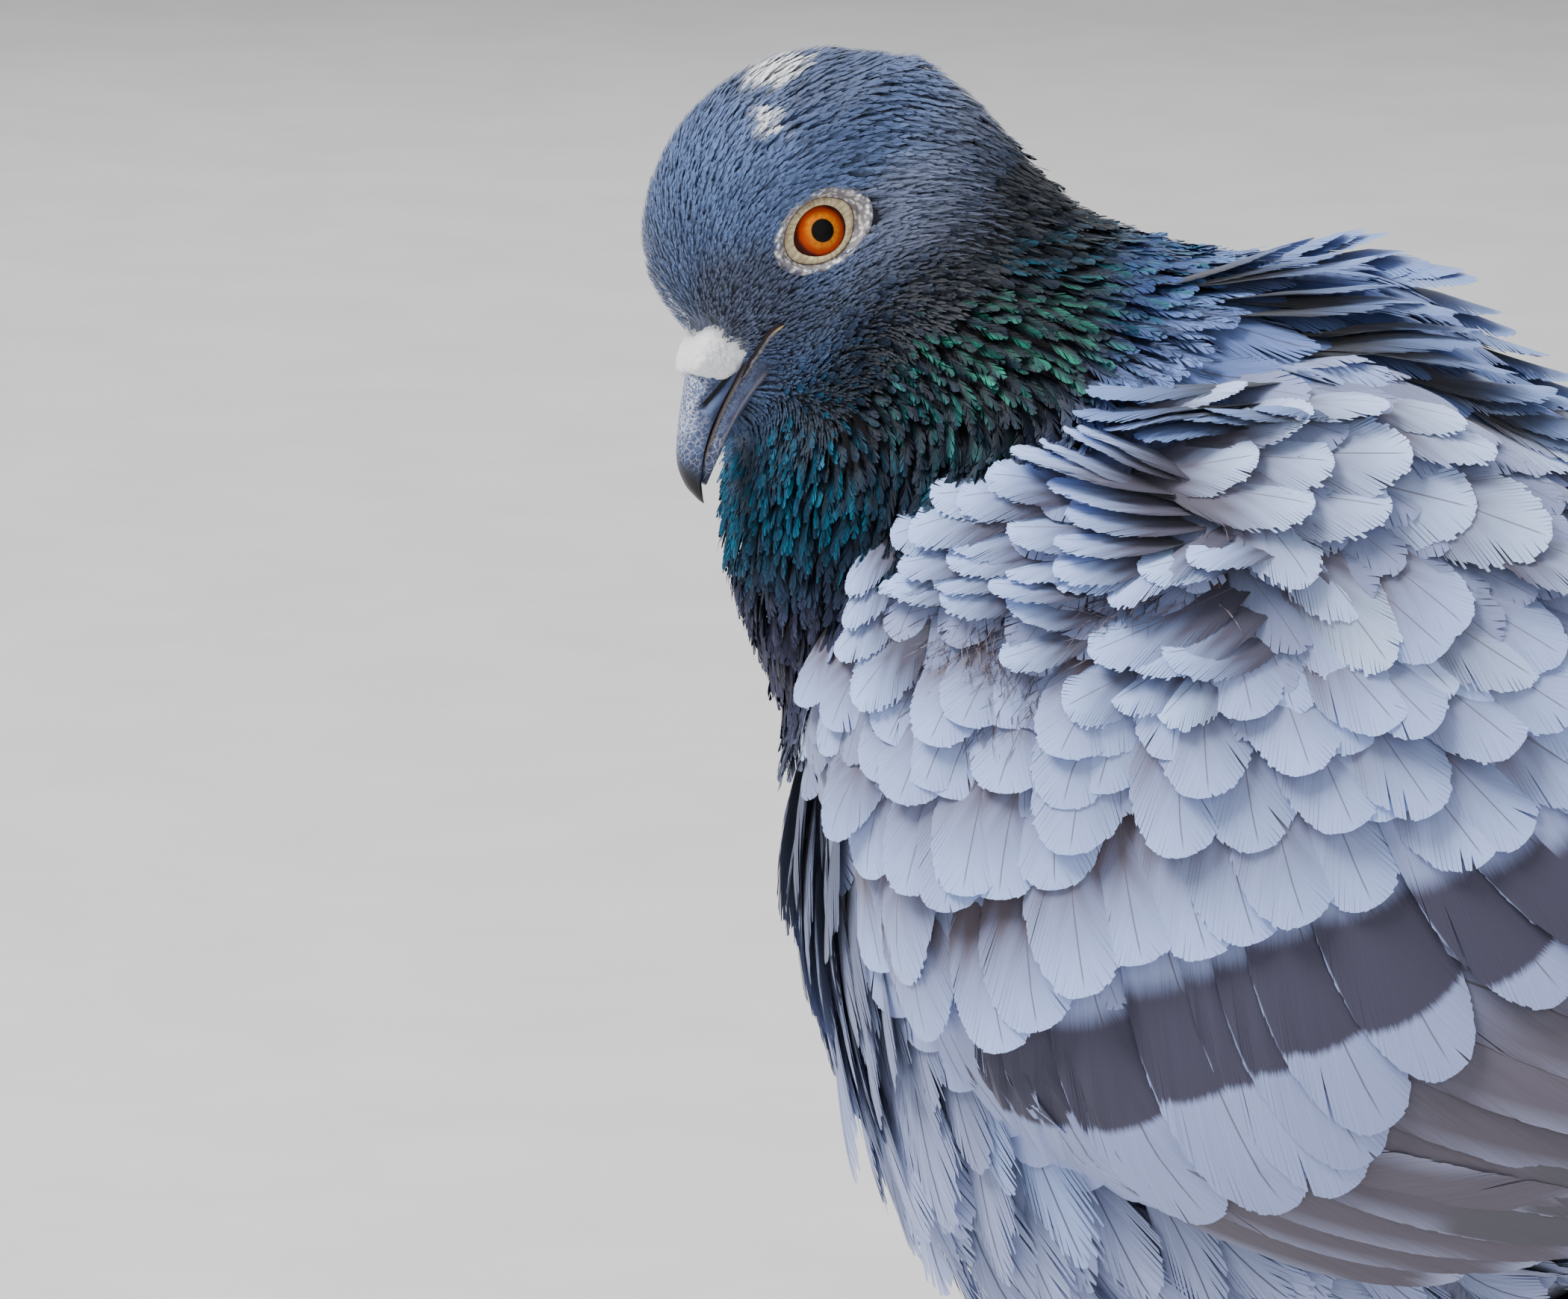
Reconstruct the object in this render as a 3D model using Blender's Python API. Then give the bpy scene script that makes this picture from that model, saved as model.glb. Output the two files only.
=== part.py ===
"""A feral pigeon, life size, standing on both feet with its plumage fluffed and its bill lowered
towards its left side. It faces -Y, +X is its left and +Z is up. The origin is on the ground under the
middle of the bird. The solids are the outside of the plumage."""

import math

import bmesh
import bpy
from mathutils import Matrix, Vector

MM = 0.001  # the tables below are in millimetres
GAP = 0.35 * MM  # left between pieces that meet
LEFT, BACK, UP = Vector((1, 0, 0)), Vector((0, 1, 0)), Vector((0, 0, 1))

# The breast's foremost point, from which the "behind" columns count.
BREAST_Y = -115.47 * MM
# The middle of the line between the eyes, and how the head is held, in degrees.
HEAD_AT = Vector((20.0 * MM, BREAST_Y + 0.3 * MM, 182.1 * MM))
HEAD_TURN_LEFT, HEAD_BILL_DOWN, HEAD_LEFT_LOW = 33.8, 50.3, -14.5

# How finely the flesh is made, and how squarish its cross-sections are (2 is an ellipse).
FLESH_VOXEL, FLESH_SMOOTHING, FLESH_TRIANGLES = 1.9 * MM, 7, 1900
TRUNK_POWER, WING_POWER, PRIMARIES_POWER, TAIL_POWER, BILL_POWER = 2.15, 2.5, 2.2, 2.6, 2.3
RING_POINTS, BILL_POINTS, WING_POINTS, PRIMARIES_POINTS, TAIL_POINTS = 32, 14, 14, 10, 14

# behind the breast, underside, back, half width
TRUNK = (
    (-1.2, 101, 117, 9),
    (1.2, 91, 130, 20),
    (4.4, 80, 141, 27),
    (8.8, 70, 150, 33),
    (15, 60, 158, 38),
    (25, 50, 167, 43),
    (40, 42, 173, 46.5),
    (55, 38, 176.5, 47.5),
    (70, 37, 175.5, 47),
    (88, 41, 161.5, 44),
    (108, 51, 148, 38),
    (128, 65, 135, 30),
    (146, 82, 124, 22),
    (160, 92, 117, 15),
    (171, 100, 112.5, 9),
)
# throat: behind, height; nape: behind, height; half width, lean to the left
NECK = (
    (-2, 174, 15, 205, 12, 17),
    (-6, 163, 25.5, 197.5, 17.5, 14),
    (-8.2, 152.5, 36, 185, 24.5, 11),
    (-8.2, 140, 50, 179.5, 32, 7),
    (-4, 127, 66, 176, 39, 3),
    (1.5, 112, 84, 160, 42, 0),
)
# in the head's own frame, from the eye line: behind, chin side, crown side, half width
HEAD = (
    (-16.6, -6.4, 4.2, 4.6),
    (-15.0, -8.4, 10.0, 7.4),
    (-12.0, -10.2, 14.0, 9.8),
    (-7.0, -12.0, 17.0, 12.0),
    (0.0, -13.6, 18.4, 13.3),
    (7.0, -14.4, 18.2, 14.2),
    (14.0, -14.2, 16.4, 14.2),
    (19.5, -12.4, 13.0, 12.8),
    (23.2, -9.0, 8.6, 9.4),
)
UPPER_BILL = (
    (-11.0, -3.6, 1.8, 4.4),
    (-16.5, -3.8, 2.0, 4.3),
    (-20.5, -4.4, 0.9, 3.6),
    (-24.5, -5.1, -0.9, 3.0),
    (-28.2, -6.4, -2.9, 2.4),
    (-30.8, -8.0, -4.7, 1.8),
    (-32.4, -9.5, -7.0, 1.1),
    (-32.9, -10.2, -9.0, 0.5),
)
LOWER_BILL = (
    (-9.0, -8.8, -3.2, 5.2),
    (-14.0, -8.4, -3.4, 4.4),
    (-20.0, -7.6, -4.0, 3.4),
    (-24.0, -7.9, -4.8, 2.8),
    (-28.0, -8.5, -6.1, 2.1),
    (-31.0, -9.2, -7.9, 1.2),
)
# The cere's left lobe.
CERE_AT, CERE_HALF = (2.1, -18.1, -0.1), (3.3, 4.1, 2.9)
CERE_VOXEL, CERE_SMOOTHING, CERE_TRIANGLES = 0.45 * MM, 2, 220
# The left eye, and the hollow in the face around it.
EYE_AT, EYE_RADIUS = (8.2, 0.0, 0.0), 4.9
EYE_DISH_AT, EYE_DISH_HALF = (13.8, -0.2, 0.0), (2.3, 6.3, 6.1)

# behind; upper edge: out from the middle, height; lower edge: out, height; bulge outwards, inwards
WING = (
    (2.8, 24, 127, 26, 119, 2, 6),
    (6, 28, 136, 31, 115, 5, 9),
    (10, 31, 144, 34, 106, 8.5, 14),
    (17, 31, 154, 36, 92.5, 12.5, 18),
    (29, 30, 161.5, 39, 77.5, 16.5, 18),
    (47, 28, 168, 41, 67.5, 19, 16),
    (62, 24, 171, 40, 62, 21.5, 15),
    (76, 21, 166, 38.5, 58.5, 22, 15),
    (96, 19, 151, 37, 57, 20, 14),
    (116, 16, 138.5, 34.5, 60, 17, 11),
    (136, 14, 127.5, 32, 66, 12.5, 9),
    (156, 12, 119.5, 29, 75, 8.2, 6),
    (174, 10.5, 114, 25, 84, 5.2, 3.5),
    (184, 10, 111, 22, 89.5, 3.6, 2.2),
)
WING_TIP = (
    (184.5, 10.4, 109.5, 20.5, 91, 2.7, 1.4),
    (200, 9, 105, 18, 91.5, 2.4, 1.1),
    (216, 7, 98.5, 14, 89.5, 1.9, 0.9),
    (230, 5, 91.5, 9, 87, 1.2, 0.6),
)
# behind, height, half width, half thickness
TAIL = (
    (140, 113, 9, 3.2),
    (152, 109, 13, 4.6),
    (170, 101, 16, 3.4),
    (200, 89, 18, 2.1),
    (230, 77, 20, 1.5),
    (244, 71.4, 20.5, 1.2),
    (248, 69.8, 18.5, 1.0),
)

# Upper side of the tail, which slopes down to the rear.
TAIL_NORMAL = Vector((0, 0.37, 0.93)).normalized()

LEG_OUT = 24.0
# behind, height, radius, out from the middle
THIGH = ((77, 49, 13, LEG_OUT - 4), (81, 42, 9, LEG_OUT - 1), (84, 35.5, 4.4, LEG_OUT))
SHANK = ((85, 36, 2.7, LEG_OUT), (83, 28, 2.0, LEG_OUT), (79, 12, 2.0, LEG_OUT), (77.5, 3.4, 2.7, LEG_OUT))
THIGH_POINTS, SHANK_POINTS, TOE_POINTS, CLAW_POINTS = 14, 10, 8, 6
PALM_HALF, PALM_HEIGHT = (3.6, 4.2, 3.4), 2.6
# length, degrees outwards from straight ahead
TOES = {"inner": (22, -36), "middle": (30, 3), "outer": (23, 38), "hind": (14, 172)}
TOE_RADII, CLAW_RADII = (2.5, 1.6), (1.15, 0.4)
TOE_STEPS, CLAW_LENGTH, CLAW_ARCH = 4, 7.0, 1.0
# How far toes and claws are cut away to stand flat.
SOLE_CUT = 0.35

# The planes that part head from neck and neck from trunk: behind, height, and the normal towards the head.
HEAD_CUT = (0.0, 166.0, (0.0, -0.73, 0.68))
NECK_CUT = (0.0, 122.0, (0.0, -0.76, 0.65))

COLOURS = {
    "slate": ((0.12, 0.15, 0.21), 0.7),
    "neck_green": ((0.05, 0.11, 0.12), 0.45),
    "pale_grey": ((0.42, 0.45, 0.54), 0.75),
    "belly_grey": ((0.36, 0.37, 0.42), 0.8),
    "flight_grey": ((0.20, 0.19, 0.22), 0.7),
    "horn": ((0.06, 0.06, 0.08), 0.4),
    "cere_white": ((0.78, 0.77, 0.80), 0.8),
    "iris_orange": ((0.75, 0.22, 0.02), 0.15),
    "foot_red": ((0.50, 0.12, 0.11), 0.6),
}


def clear_scene():
    for obj in list(bpy.data.objects):
        bpy.data.objects.remove(obj)


def material(name):
    """The named finish, made once."""
    found = bpy.data.materials.get(name)
    if found:
        return found
    made = bpy.data.materials.new(name)
    made.use_nodes = True
    shader = made.node_tree.nodes["Principled BSDF"]
    colour, roughness = COLOURS[name]
    shader.inputs["Base Color"].default_value = (*colour, 1.0)
    shader.inputs["Roughness"].default_value = roughness
    return made


def new_object(name, mesh, finish):
    obj = bpy.data.objects.new(name, mesh)
    bpy.context.scene.collection.objects.link(obj)
    if not mesh.materials:
        mesh.materials.append(material(finish))
    return obj


def catmull_rom(before, start, end, after, t):
    """A number on the smooth curve through the four, at t from start to end."""
    linear = end - before
    square = 2 * before - 5 * start + 4 * end - after
    cube = 3 * start - before - 3 * end + after
    return 0.5 * (2 * start + linear * t + square * t**2 + cube * t**3)


def through(rows, steps):
    """Rows on a smooth curve through the given rows, with steps between each two."""
    table = [rows[0], *rows, rows[-1]]
    found = []
    for i in range(1, len(table) - 2):
        columns = list(zip(*table[i - 1 : i + 3]))
        for k in range(steps):
            found.append(tuple(catmull_rom(*column, k / steps) for column in columns))
    return found + [rows[-1]]


def oval(centre, side, up, half_width, half_height, power=2.0, count=RING_POINTS, other_half_width=None):
    """A closed ring in the plane of side and up. other_half_width is its reach against side, if another."""
    points = []
    for k in range(count):
        angle = 2 * math.pi * k / count
        across, along = math.cos(angle), math.sin(angle)
        reach = half_width if across > 0 or other_half_width is None else other_half_width
        out = side * math.copysign(abs(across) ** (2 / power), across) * reach
        points.append(centre + out + up * math.copysign(abs(along) ** (2 / power), along) * half_height)
    return points


def loft(name, rings, finish):
    """A closed tube through rings of equal count, with flat ends."""
    bm = bmesh.new()
    loops = [[bm.verts.new(p) for p in ring] for ring in rings]
    count = len(rings[0])
    for near, far in zip(loops, loops[1:]):
        for k in range(count):
            following = (k + 1) % count
            bm.faces.new((near[k], near[following], far[following], far[k]))
    bm.faces.new(loops[0])
    bm.faces.new(loops[-1])
    bmesh.ops.recalc_face_normals(bm, faces=bm.faces)
    mesh = bpy.data.meshes.new(name)
    bm.to_mesh(mesh)
    bm.free()
    mesh.shade_smooth()
    mesh.set_sharp_from_angle(angle=math.radians(50))
    return new_object(name, mesh, finish)


def behind(distance, height, out=0.0):
    """A point, from millimetres behind the breast's foremost point, above the ground and out to the left."""
    return Vector((out * MM, BREAST_Y + distance * MM, height * MM))


def head_frame():
    """Carries the head's own frame, whose origin is on the eye line, into the model's."""
    turn = Matrix.Rotation(math.radians(HEAD_TURN_LEFT), 4, "Z")
    nod = Matrix.Rotation(math.radians(HEAD_BILL_DOWN), 4, "X")
    roll = Matrix.Rotation(math.radians(HEAD_LEFT_LOW), 4, "Y")
    return Matrix.Translation(HEAD_AT) @ turn @ nod @ roll


def head_rings(rows, steps, power=2.0, count=RING_POINTS):
    """Rings across the head's long axis, in the model's frame."""
    frame = head_frame()
    rings = []
    for back, low, high, half in through(rows, steps):
        centre = Vector((0, back, (low + high) / 2)) * MM
        reach = (high - low) / 2 * MM
        ring = oval(centre, LEFT, UP, half * MM, reach, power, count)
        rings.append([frame @ p for p in ring])
    return rings


def trunk_rings():
    for back, low, high, half in through(TRUNK, 3):
        centre, reach = behind(back, (low + high) / 2), (high - low) / 2 * MM
        yield oval(centre, LEFT, UP, half * MM, reach, TRUNK_POWER)


def neck_rings():
    for front, front_height, rear, rear_height, half, lean in through(NECK, 3):
        throat, nape = behind(front, front_height, lean), behind(rear, rear_height, lean)
        up = (nape - throat) / 2
        yield oval((throat + nape) / 2, LEFT, up.normalized(), half * MM, up.length)


def wing_rings(rows, side, power, count):
    """Rings of a wing across its length. side is 1 for the left wing and -1 for the right one."""
    for back, top_out, top, low_out, low, outwards, inwards in through(rows, 2):
        upper, lower = behind(back, top, top_out * side), behind(back, low, low_out * side)
        up = (upper - lower) / 2
        out = BACK.cross(up).normalized() * side
        middle = (upper + lower) / 2
        yield oval(middle, out, up.normalized(), outwards * MM, up.length, power, count, inwards * MM)


def apply_modifiers(obj):
    """Replaces the object's mesh by what its modifiers make of it."""
    graph = bpy.context.evaluated_depsgraph_get()
    mesh = bpy.data.meshes.new_from_object(obj.evaluated_get(graph))
    obj.modifiers.clear()
    obj.data = mesh


def fused(name, parts, voxel, smoothing, triangles):
    """One smooth closed body from several that overlap, which are removed."""
    bm = bmesh.new()
    for part in parts:
        bm.from_mesh(part.data)
    finish = parts[0].data.materials[0].name
    for part in parts:
        bpy.data.objects.remove(part)
    mesh = bpy.data.meshes.new(name)
    bm.to_mesh(mesh)
    bm.free()
    body = new_object(name, mesh, finish)
    remesh = body.modifiers.new("one_skin", "REMESH")
    remesh.mode = "VOXEL"
    remesh.voxel_size = voxel
    smooth = body.modifiers.new("soften", "SMOOTH")
    smooth.factor = 0.5
    smooth.iterations = smoothing
    apply_modifiers(body)
    body.data.calc_loop_triangles()
    thin = body.modifiers.new("fewer_faces", "DECIMATE")
    thin.ratio = triangles / len(body.data.loop_triangles)
    thin.use_collapse_triangulate = True
    apply_modifiers(body)
    if not body.data.materials:
        body.data.materials.append(material(finish))
    body.data.shade_smooth()
    return body


def grown(obj, amount, name):
    """A hidden copy of a piece, larger all round, to cut clearance for it."""
    cutter = new_object(name, obj.data.copy(), "slate")
    swell = cutter.modifiers.new("clearance", "DISPLACE")
    swell.mid_level = 0.0
    swell.strength = amount
    hide(cutter)
    return cutter


def hide(obj):
    obj.hide_render = True
    obj.display_type = "WIRE"


def combine(obj, cutter, operation="DIFFERENCE"):
    boolean = obj.modifiers.new("with_" + cutter.name, "BOOLEAN")
    boolean.operation = operation
    boolean.solver = "EXACT"
    boolean.object = cutter


def make_flesh():
    """Trunk, neck and head as one smooth body."""
    parts = [
        loft("trunk_form", list(trunk_rings()), "pale_grey"),
        loft("neck_form", list(neck_rings()), "neck_green"),
        loft("head_form", head_rings(HEAD, 3), "slate"),
    ]
    flesh = fused("flesh", parts, FLESH_VOXEL, FLESH_SMOOTHING, FLESH_TRIANGLES)
    hide(flesh)
    return flesh


def slice_of(flesh, name, finish, planes):
    """The part of the flesh on the positive side of each (point, normal) plane, closed with flat faces."""
    bm = bmesh.new()
    bm.from_mesh(flesh.data)
    for point, normal in planes:
        bmesh.ops.bisect_plane(
            bm,
            geom=bm.verts[:] + bm.edges[:] + bm.faces[:],
            plane_co=point,
            plane_no=normal,
            clear_inner=True,
        )
        bmesh.ops.holes_fill(bm, edges=[e for e in bm.edges if e.is_boundary])
    bmesh.ops.triangulate(bm, faces=[f for f in bm.faces if len(f.verts) > 4])
    bmesh.ops.recalc_face_normals(bm, faces=bm.faces)
    mesh = bpy.data.meshes.new(name)
    bm.to_mesh(mesh)
    bm.free()
    mesh.shade_smooth()
    mesh.set_sharp_from_angle(angle=math.radians(50))
    return new_object(name, mesh, finish)


def part_flesh(flesh):
    """Head, neck and trunk, parted by two thin cuts."""

    def plane(cut_at, direction):
        back, height, normal = cut_at
        normal = Vector(normal).normalized() * direction
        return behind(back, height) + normal * GAP / 2, normal

    head = slice_of(flesh, "head", "slate", [plane(HEAD_CUT, 1)])
    neck = slice_of(flesh, "neck", "neck_green", [plane(HEAD_CUT, -1), plane(NECK_CUT, 1)])
    trunk = slice_of(flesh, "trunk", "belly_grey", [plane(NECK_CUT, -1)])
    return head, neck, trunk


def ellipsoid(name, centre, halves, finish, frame, segments=20, rings=12):
    bm = bmesh.new()
    bmesh.ops.create_uvsphere(bm, u_segments=segments, v_segments=rings, radius=1.0)
    scale = Matrix.Diagonal((*(h * MM for h in halves), 1.0))
    bm.transform(frame @ Matrix.Translation(Vector(centre) * MM) @ scale)
    mesh = bpy.data.meshes.new(name)
    bm.to_mesh(mesh)
    bm.free()
    mesh.shade_smooth()
    return new_object(name, mesh, finish)


def make_face(head, neck):
    """Bill, cere and eyes, each seated in a pocket of the head. The bill also presses into the throat."""
    frame = head_frame()
    upper = loft("bill_upper", head_rings(UPPER_BILL, 2, BILL_POWER, BILL_POINTS), "horn")
    lower = loft("bill_lower", head_rings(LOWER_BILL, 2, BILL_POWER, BILL_POINTS), "horn")
    lobes = [
        ellipsoid(f"lobe_{side}", (side * CERE_AT[0], *CERE_AT[1:]), CERE_HALF, "cere_white", frame)
        for side in (-1, 1)
    ]
    cere = fused("cere", lobes, CERE_VOXEL, CERE_SMOOTHING, CERE_TRIANGLES)
    for piece in (lower, upper, cere):
        combine(head, grown(piece, GAP, piece.name + "_room"))
    for piece in (lower, cere):
        combine(piece, bpy.data.objects["bill_upper_room"])
        apply_modifiers(piece)
    combine(neck, bpy.data.objects["bill_lower_room"])
    apply_modifiers(neck)
    for side, name in ((1, "left"), (-1, "right")):
        dish_at = (EYE_DISH_AT[0] * side, *EYE_DISH_AT[1:])
        eye_at = (EYE_AT[0] * side, *EYE_AT[1:])
        dish = ellipsoid(f"eye_dish_{name}", dish_at, EYE_DISH_HALF, "slate", frame, 16, 8)
        eye = ellipsoid(f"eye_{name}", eye_at, (EYE_RADIUS,) * 3, "iris_orange", frame, 14, 9)
        hide(dish)
        combine(head, dish)
        combine(head, grown(eye, GAP, f"eye_room_{name}"))
    apply_modifiers(head)


def make_wings(flesh_room, tail_room):
    """Each wing is a shield over the side of the trunk and the folded primaries behind it."""
    for side, name in ((1, "left"), (-1, "right")):
        shield_rings = list(wing_rings(WING, side, WING_POWER, WING_POINTS))
        primary_rings = list(wing_rings(WING_TIP, side, PRIMARIES_POWER, PRIMARIES_POINTS))
        shield = loft(f"wing_{name}", shield_rings, "pale_grey")
        primaries = loft(f"primaries_{name}", primary_rings, "flight_grey")
        combine(shield, flesh_room)
        for piece in (shield, primaries):
            combine(piece, tail_room)
            apply_modifiers(piece)


def make_tail():
    rings = []
    for back, height, half, thick in through(TAIL, 2):
        centre = behind(back, height)
        rings.append(oval(centre, LEFT, TAIL_NORMAL, half * MM, thick * MM, TAIL_POWER, TAIL_POINTS))
    return loft("tail", rings, "flight_grey")


def limb(name, rows, side, finish, count):
    """A round tube along rows of (behind, height, radius, out)."""
    rows = through(rows, 2)
    centres = [behind(back, height, out * side) for back, height, _, out in rows]
    rings = []
    for i, centre in enumerate(centres):
        along = (centres[min(i + 1, len(rows) - 1)] - centres[max(i - 1, 0)]).normalized()
        radius = rows[i][2] * MM
        rings.append(oval(centre, LEFT, along.cross(LEFT).normalized(), radius, radius, count=count))
    return loft(name, rings, finish)


def toe_rings(root, heading, start, length, radii, count, arch=0.0):
    """Rings of a toe or claw that lies on the ground, from start to start + length along heading."""
    across = Vector((heading.y, -heading.x, 0))
    rings = []
    for k in range(TOE_STEPS + 1):
        t = k / TOE_STEPS
        radius = (radii[0] + (radii[1] - radii[0]) * t) * MM
        centre = root + heading * (start + length * t) * MM
        centre.z = radius - (SOLE_CUT - arch * math.sin(math.pi * t)) * MM
        rings.append(oval(centre, across, UP, radius, radius, count=count))
    return rings


def flatten_sole(obj):
    """Cuts a piece flat at the ground."""
    bm = bmesh.new()
    bm.from_mesh(obj.data)
    bmesh.ops.bisect_plane(
        bm,
        geom=bm.verts[:] + bm.edges[:] + bm.faces[:],
        plane_co=(0, 0, 0),
        plane_no=(0, 0, 1),
        clear_inner=True,
    )
    bmesh.ops.holes_fill(bm, edges=[e for e in bm.edges if e.is_boundary])
    bmesh.ops.recalc_face_normals(bm, faces=bm.faces)
    bm.to_mesh(obj.data)
    bm.free()


def make_foot(side, name):
    """Four toes joined at the sole, each with its claw; returns the foot."""
    root = behind(SHANK[-1][0], 0, LEG_OUT * side)
    palm_at = Matrix.Translation(root + UP * PALM_HEIGHT * MM)
    foot = ellipsoid(f"foot_{name}", (0, 0, 0), PALM_HALF, "foot_red", palm_at, 12, 6)
    for toe, (length, outwards) in TOES.items():
        angle = math.radians(outwards) * side
        heading = Vector((math.sin(angle), -math.cos(angle), 0))
        rings = toe_rings(root, heading, 0, length, TOE_RADII, TOE_POINTS)
        solid = loft(f"toe_{toe}_{name}", rings, "foot_red")
        combine(foot, solid, "UNION")
        hide(solid)
        rings = toe_rings(root, heading, length + GAP / MM, CLAW_LENGTH, CLAW_RADII, CLAW_POINTS, CLAW_ARCH)
        flatten_sole(loft(f"claw_{toe}_{name}", rings, "horn"))
    apply_modifiers(foot)
    flatten_sole(foot)
    return foot


def make_legs(trunk_room):
    for side, name in ((1, "left"), (-1, "right")):
        thigh = limb(f"thigh_{name}", THIGH, side, "belly_grey", THIGH_POINTS)
        shank = limb(f"shank_{name}", SHANK, side, "foot_red", SHANK_POINTS)
        foot = make_foot(side, name)
        combine(thigh, trunk_room)
        combine(thigh, grown(shank, GAP, f"shank_room_{name}"))
        combine(shank, grown(foot, GAP, f"foot_room_{name}"))
        apply_modifiers(thigh)
        apply_modifiers(shank)


def main():
    clear_scene()
    flesh = make_flesh()
    head, neck, trunk = part_flesh(flesh)
    make_face(head, neck)
    tail = make_tail()
    flesh_room = grown(flesh, GAP, "flesh_room")
    tail_room = grown(tail, GAP, "tail_room")
    combine(trunk, tail_room)
    apply_modifiers(trunk)
    make_wings(flesh_room, tail_room)
    make_legs(flesh_room)


main()
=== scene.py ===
import math

import bmesh
import bpy
import numpy as np
from mathutils import Matrix, Vector, noise
from mathutils.bvhtree import BVHTree


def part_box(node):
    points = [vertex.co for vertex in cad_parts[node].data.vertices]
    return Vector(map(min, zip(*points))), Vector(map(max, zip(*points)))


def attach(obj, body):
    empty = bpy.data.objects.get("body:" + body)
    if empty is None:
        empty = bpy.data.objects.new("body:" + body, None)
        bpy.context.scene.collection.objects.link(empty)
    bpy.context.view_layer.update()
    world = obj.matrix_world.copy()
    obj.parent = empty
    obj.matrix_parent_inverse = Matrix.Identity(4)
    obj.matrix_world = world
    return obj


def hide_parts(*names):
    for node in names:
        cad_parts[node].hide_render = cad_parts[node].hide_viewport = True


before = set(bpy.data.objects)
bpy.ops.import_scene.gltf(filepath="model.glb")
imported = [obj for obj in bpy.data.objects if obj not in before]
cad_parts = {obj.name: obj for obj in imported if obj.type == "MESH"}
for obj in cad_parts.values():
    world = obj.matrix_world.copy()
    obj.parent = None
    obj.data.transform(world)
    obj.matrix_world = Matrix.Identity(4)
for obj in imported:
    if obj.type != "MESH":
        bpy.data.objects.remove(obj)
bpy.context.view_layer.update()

# ------------------------------------------------------------
# Places on the bird. Lengths in the tables are millimetres. "Behind" counts from the breast's foremost
# point towards the tail, "out" from the middle towards the left. The head has a frame of its own, whose
# origin is midway between the eyes: x to its left, y to its back (the bill is at -y), z to its crown.
MM = 0.001
WING_TIPS_BEHIND = 230
BREAST_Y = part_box("primaries_left")[1].y - WING_TIPS_BEHIND * MM
HEAD_TURN_LEFT, HEAD_BILL_DOWN, HEAD_LEFT_HIGH = 33.8, 50.3, 14.5


def middle(node):
    low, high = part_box(node)
    return (low + high) / 2


HEAD = Matrix.Translation((middle("eye_left") + middle("eye_right")) / 2)
for angle, axis in ((HEAD_TURN_LEFT, "Z"), (HEAD_BILL_DOWN, "X"), (-HEAD_LEFT_HIGH, "Y")):
    HEAD = HEAD @ Matrix.Rotation(math.radians(angle), 4, axis)
HEAD_AXES, HEAD_ORIGIN = np.array(HEAD.to_3x3()), np.array(HEAD.translation)


def body_place(behind, height, out=0.0):
    return np.array([out * MM, BREAST_Y + behind * MM, height * MM])


def to_body(points):
    """How far behind the breast and how high points lie, in millimetres."""
    return (points[..., 1] - BREAST_Y) / MM, points[..., 2] / MM


def to_head(points):
    """Model coordinates to the head's frame, in millimetres."""
    return (np.asarray(points) - HEAD_ORIGIN) @ HEAD_AXES / MM


def from_head(points):
    return HEAD_ORIGIN + np.asarray(points, float) @ HEAD_AXES.T * MM


def unit(vectors):
    return vectors / np.maximum(np.linalg.norm(vectors, axis=-1, keepdims=True), 1e-12)


def smooth_step(low, high, values):
    t = np.clip((np.asarray(values) - low) / (high - low), 0, 1)
    return t * t * (3 - 2 * t)


def mottle(points, size, seed):
    """A soft random field from -1 to 1 whose patches are about size millimetres across."""
    draw = np.random.default_rng(seed)
    waves = unit(draw.normal(size=(7, 3))) * draw.uniform(0.6, 1.6, (7, 1)) * 2 * math.pi / (size * 2 * MM)
    return np.sin(points @ waves.T + draw.uniform(0, 6.28, 7)).sum(-1) / 2.6


# ------------------------------------------------------------
# Hide. One skin under all the plumage of head, neck, trunk, thighs and wings, made of thin hide covered
# with brownish-grey down. The outline of the plumage is the fused surface of the solids, and the hide
# lies inside it by the depth of the feathers.
FLESH = ("head", "neck", "trunk", "thigh_left", "thigh_right", "wing_left", "wing_right")
OWNERS = FLESH + ("eye_left", "eye_right", "bill_upper", "bill_lower", "cere")
FEATHER_DEPTH = {
    "head": 1.2, "neck": 2.6, "trunk": 4.6, "thigh": 2.2, "wing": 3.0, "eye": 2.3, "bill": 2.0, "cere": 1.4,
}
# rounds that even out the depth, and where the form is thinner than this many depths, its share of it
DEPTH_BLENDING, THIN_REACH, THIN_SHARE = 14, 2.6, 0.38
SWELL, WELD, OUTLINE_VOXEL, OUTLINE_SMOOTHING = 0.45 * MM, 0.002 * MM, 1.5 * MM, 4


def welded(nodes):
    """(points, triangles, node number of each triangle) of these solids, with split corners joined."""
    points, faces, owner = [], [], []
    for number, node in enumerate(nodes):
        bm = bmesh.new()
        bm.from_mesh(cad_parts[node].data)
        bmesh.ops.remove_doubles(bm, verts=bm.verts, dist=WELD)
        bmesh.ops.triangulate(bm, faces=bm.faces)
        bm.normal_update()
        start = len(points)
        points += [v.co + v.normal * SWELL for v in bm.verts]
        faces += [[start + v.index for v in f.verts] for f in bm.faces]
        owner += [number] * len(bm.faces)
        bm.free()
    return points, faces, owner


def placed(name, data):
    """A new object in the scene that holds a mesh, a lamp or a camera."""
    obj = bpy.data.objects.new(name, data)
    bpy.context.scene.collection.objects.link(obj)
    return obj


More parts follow.
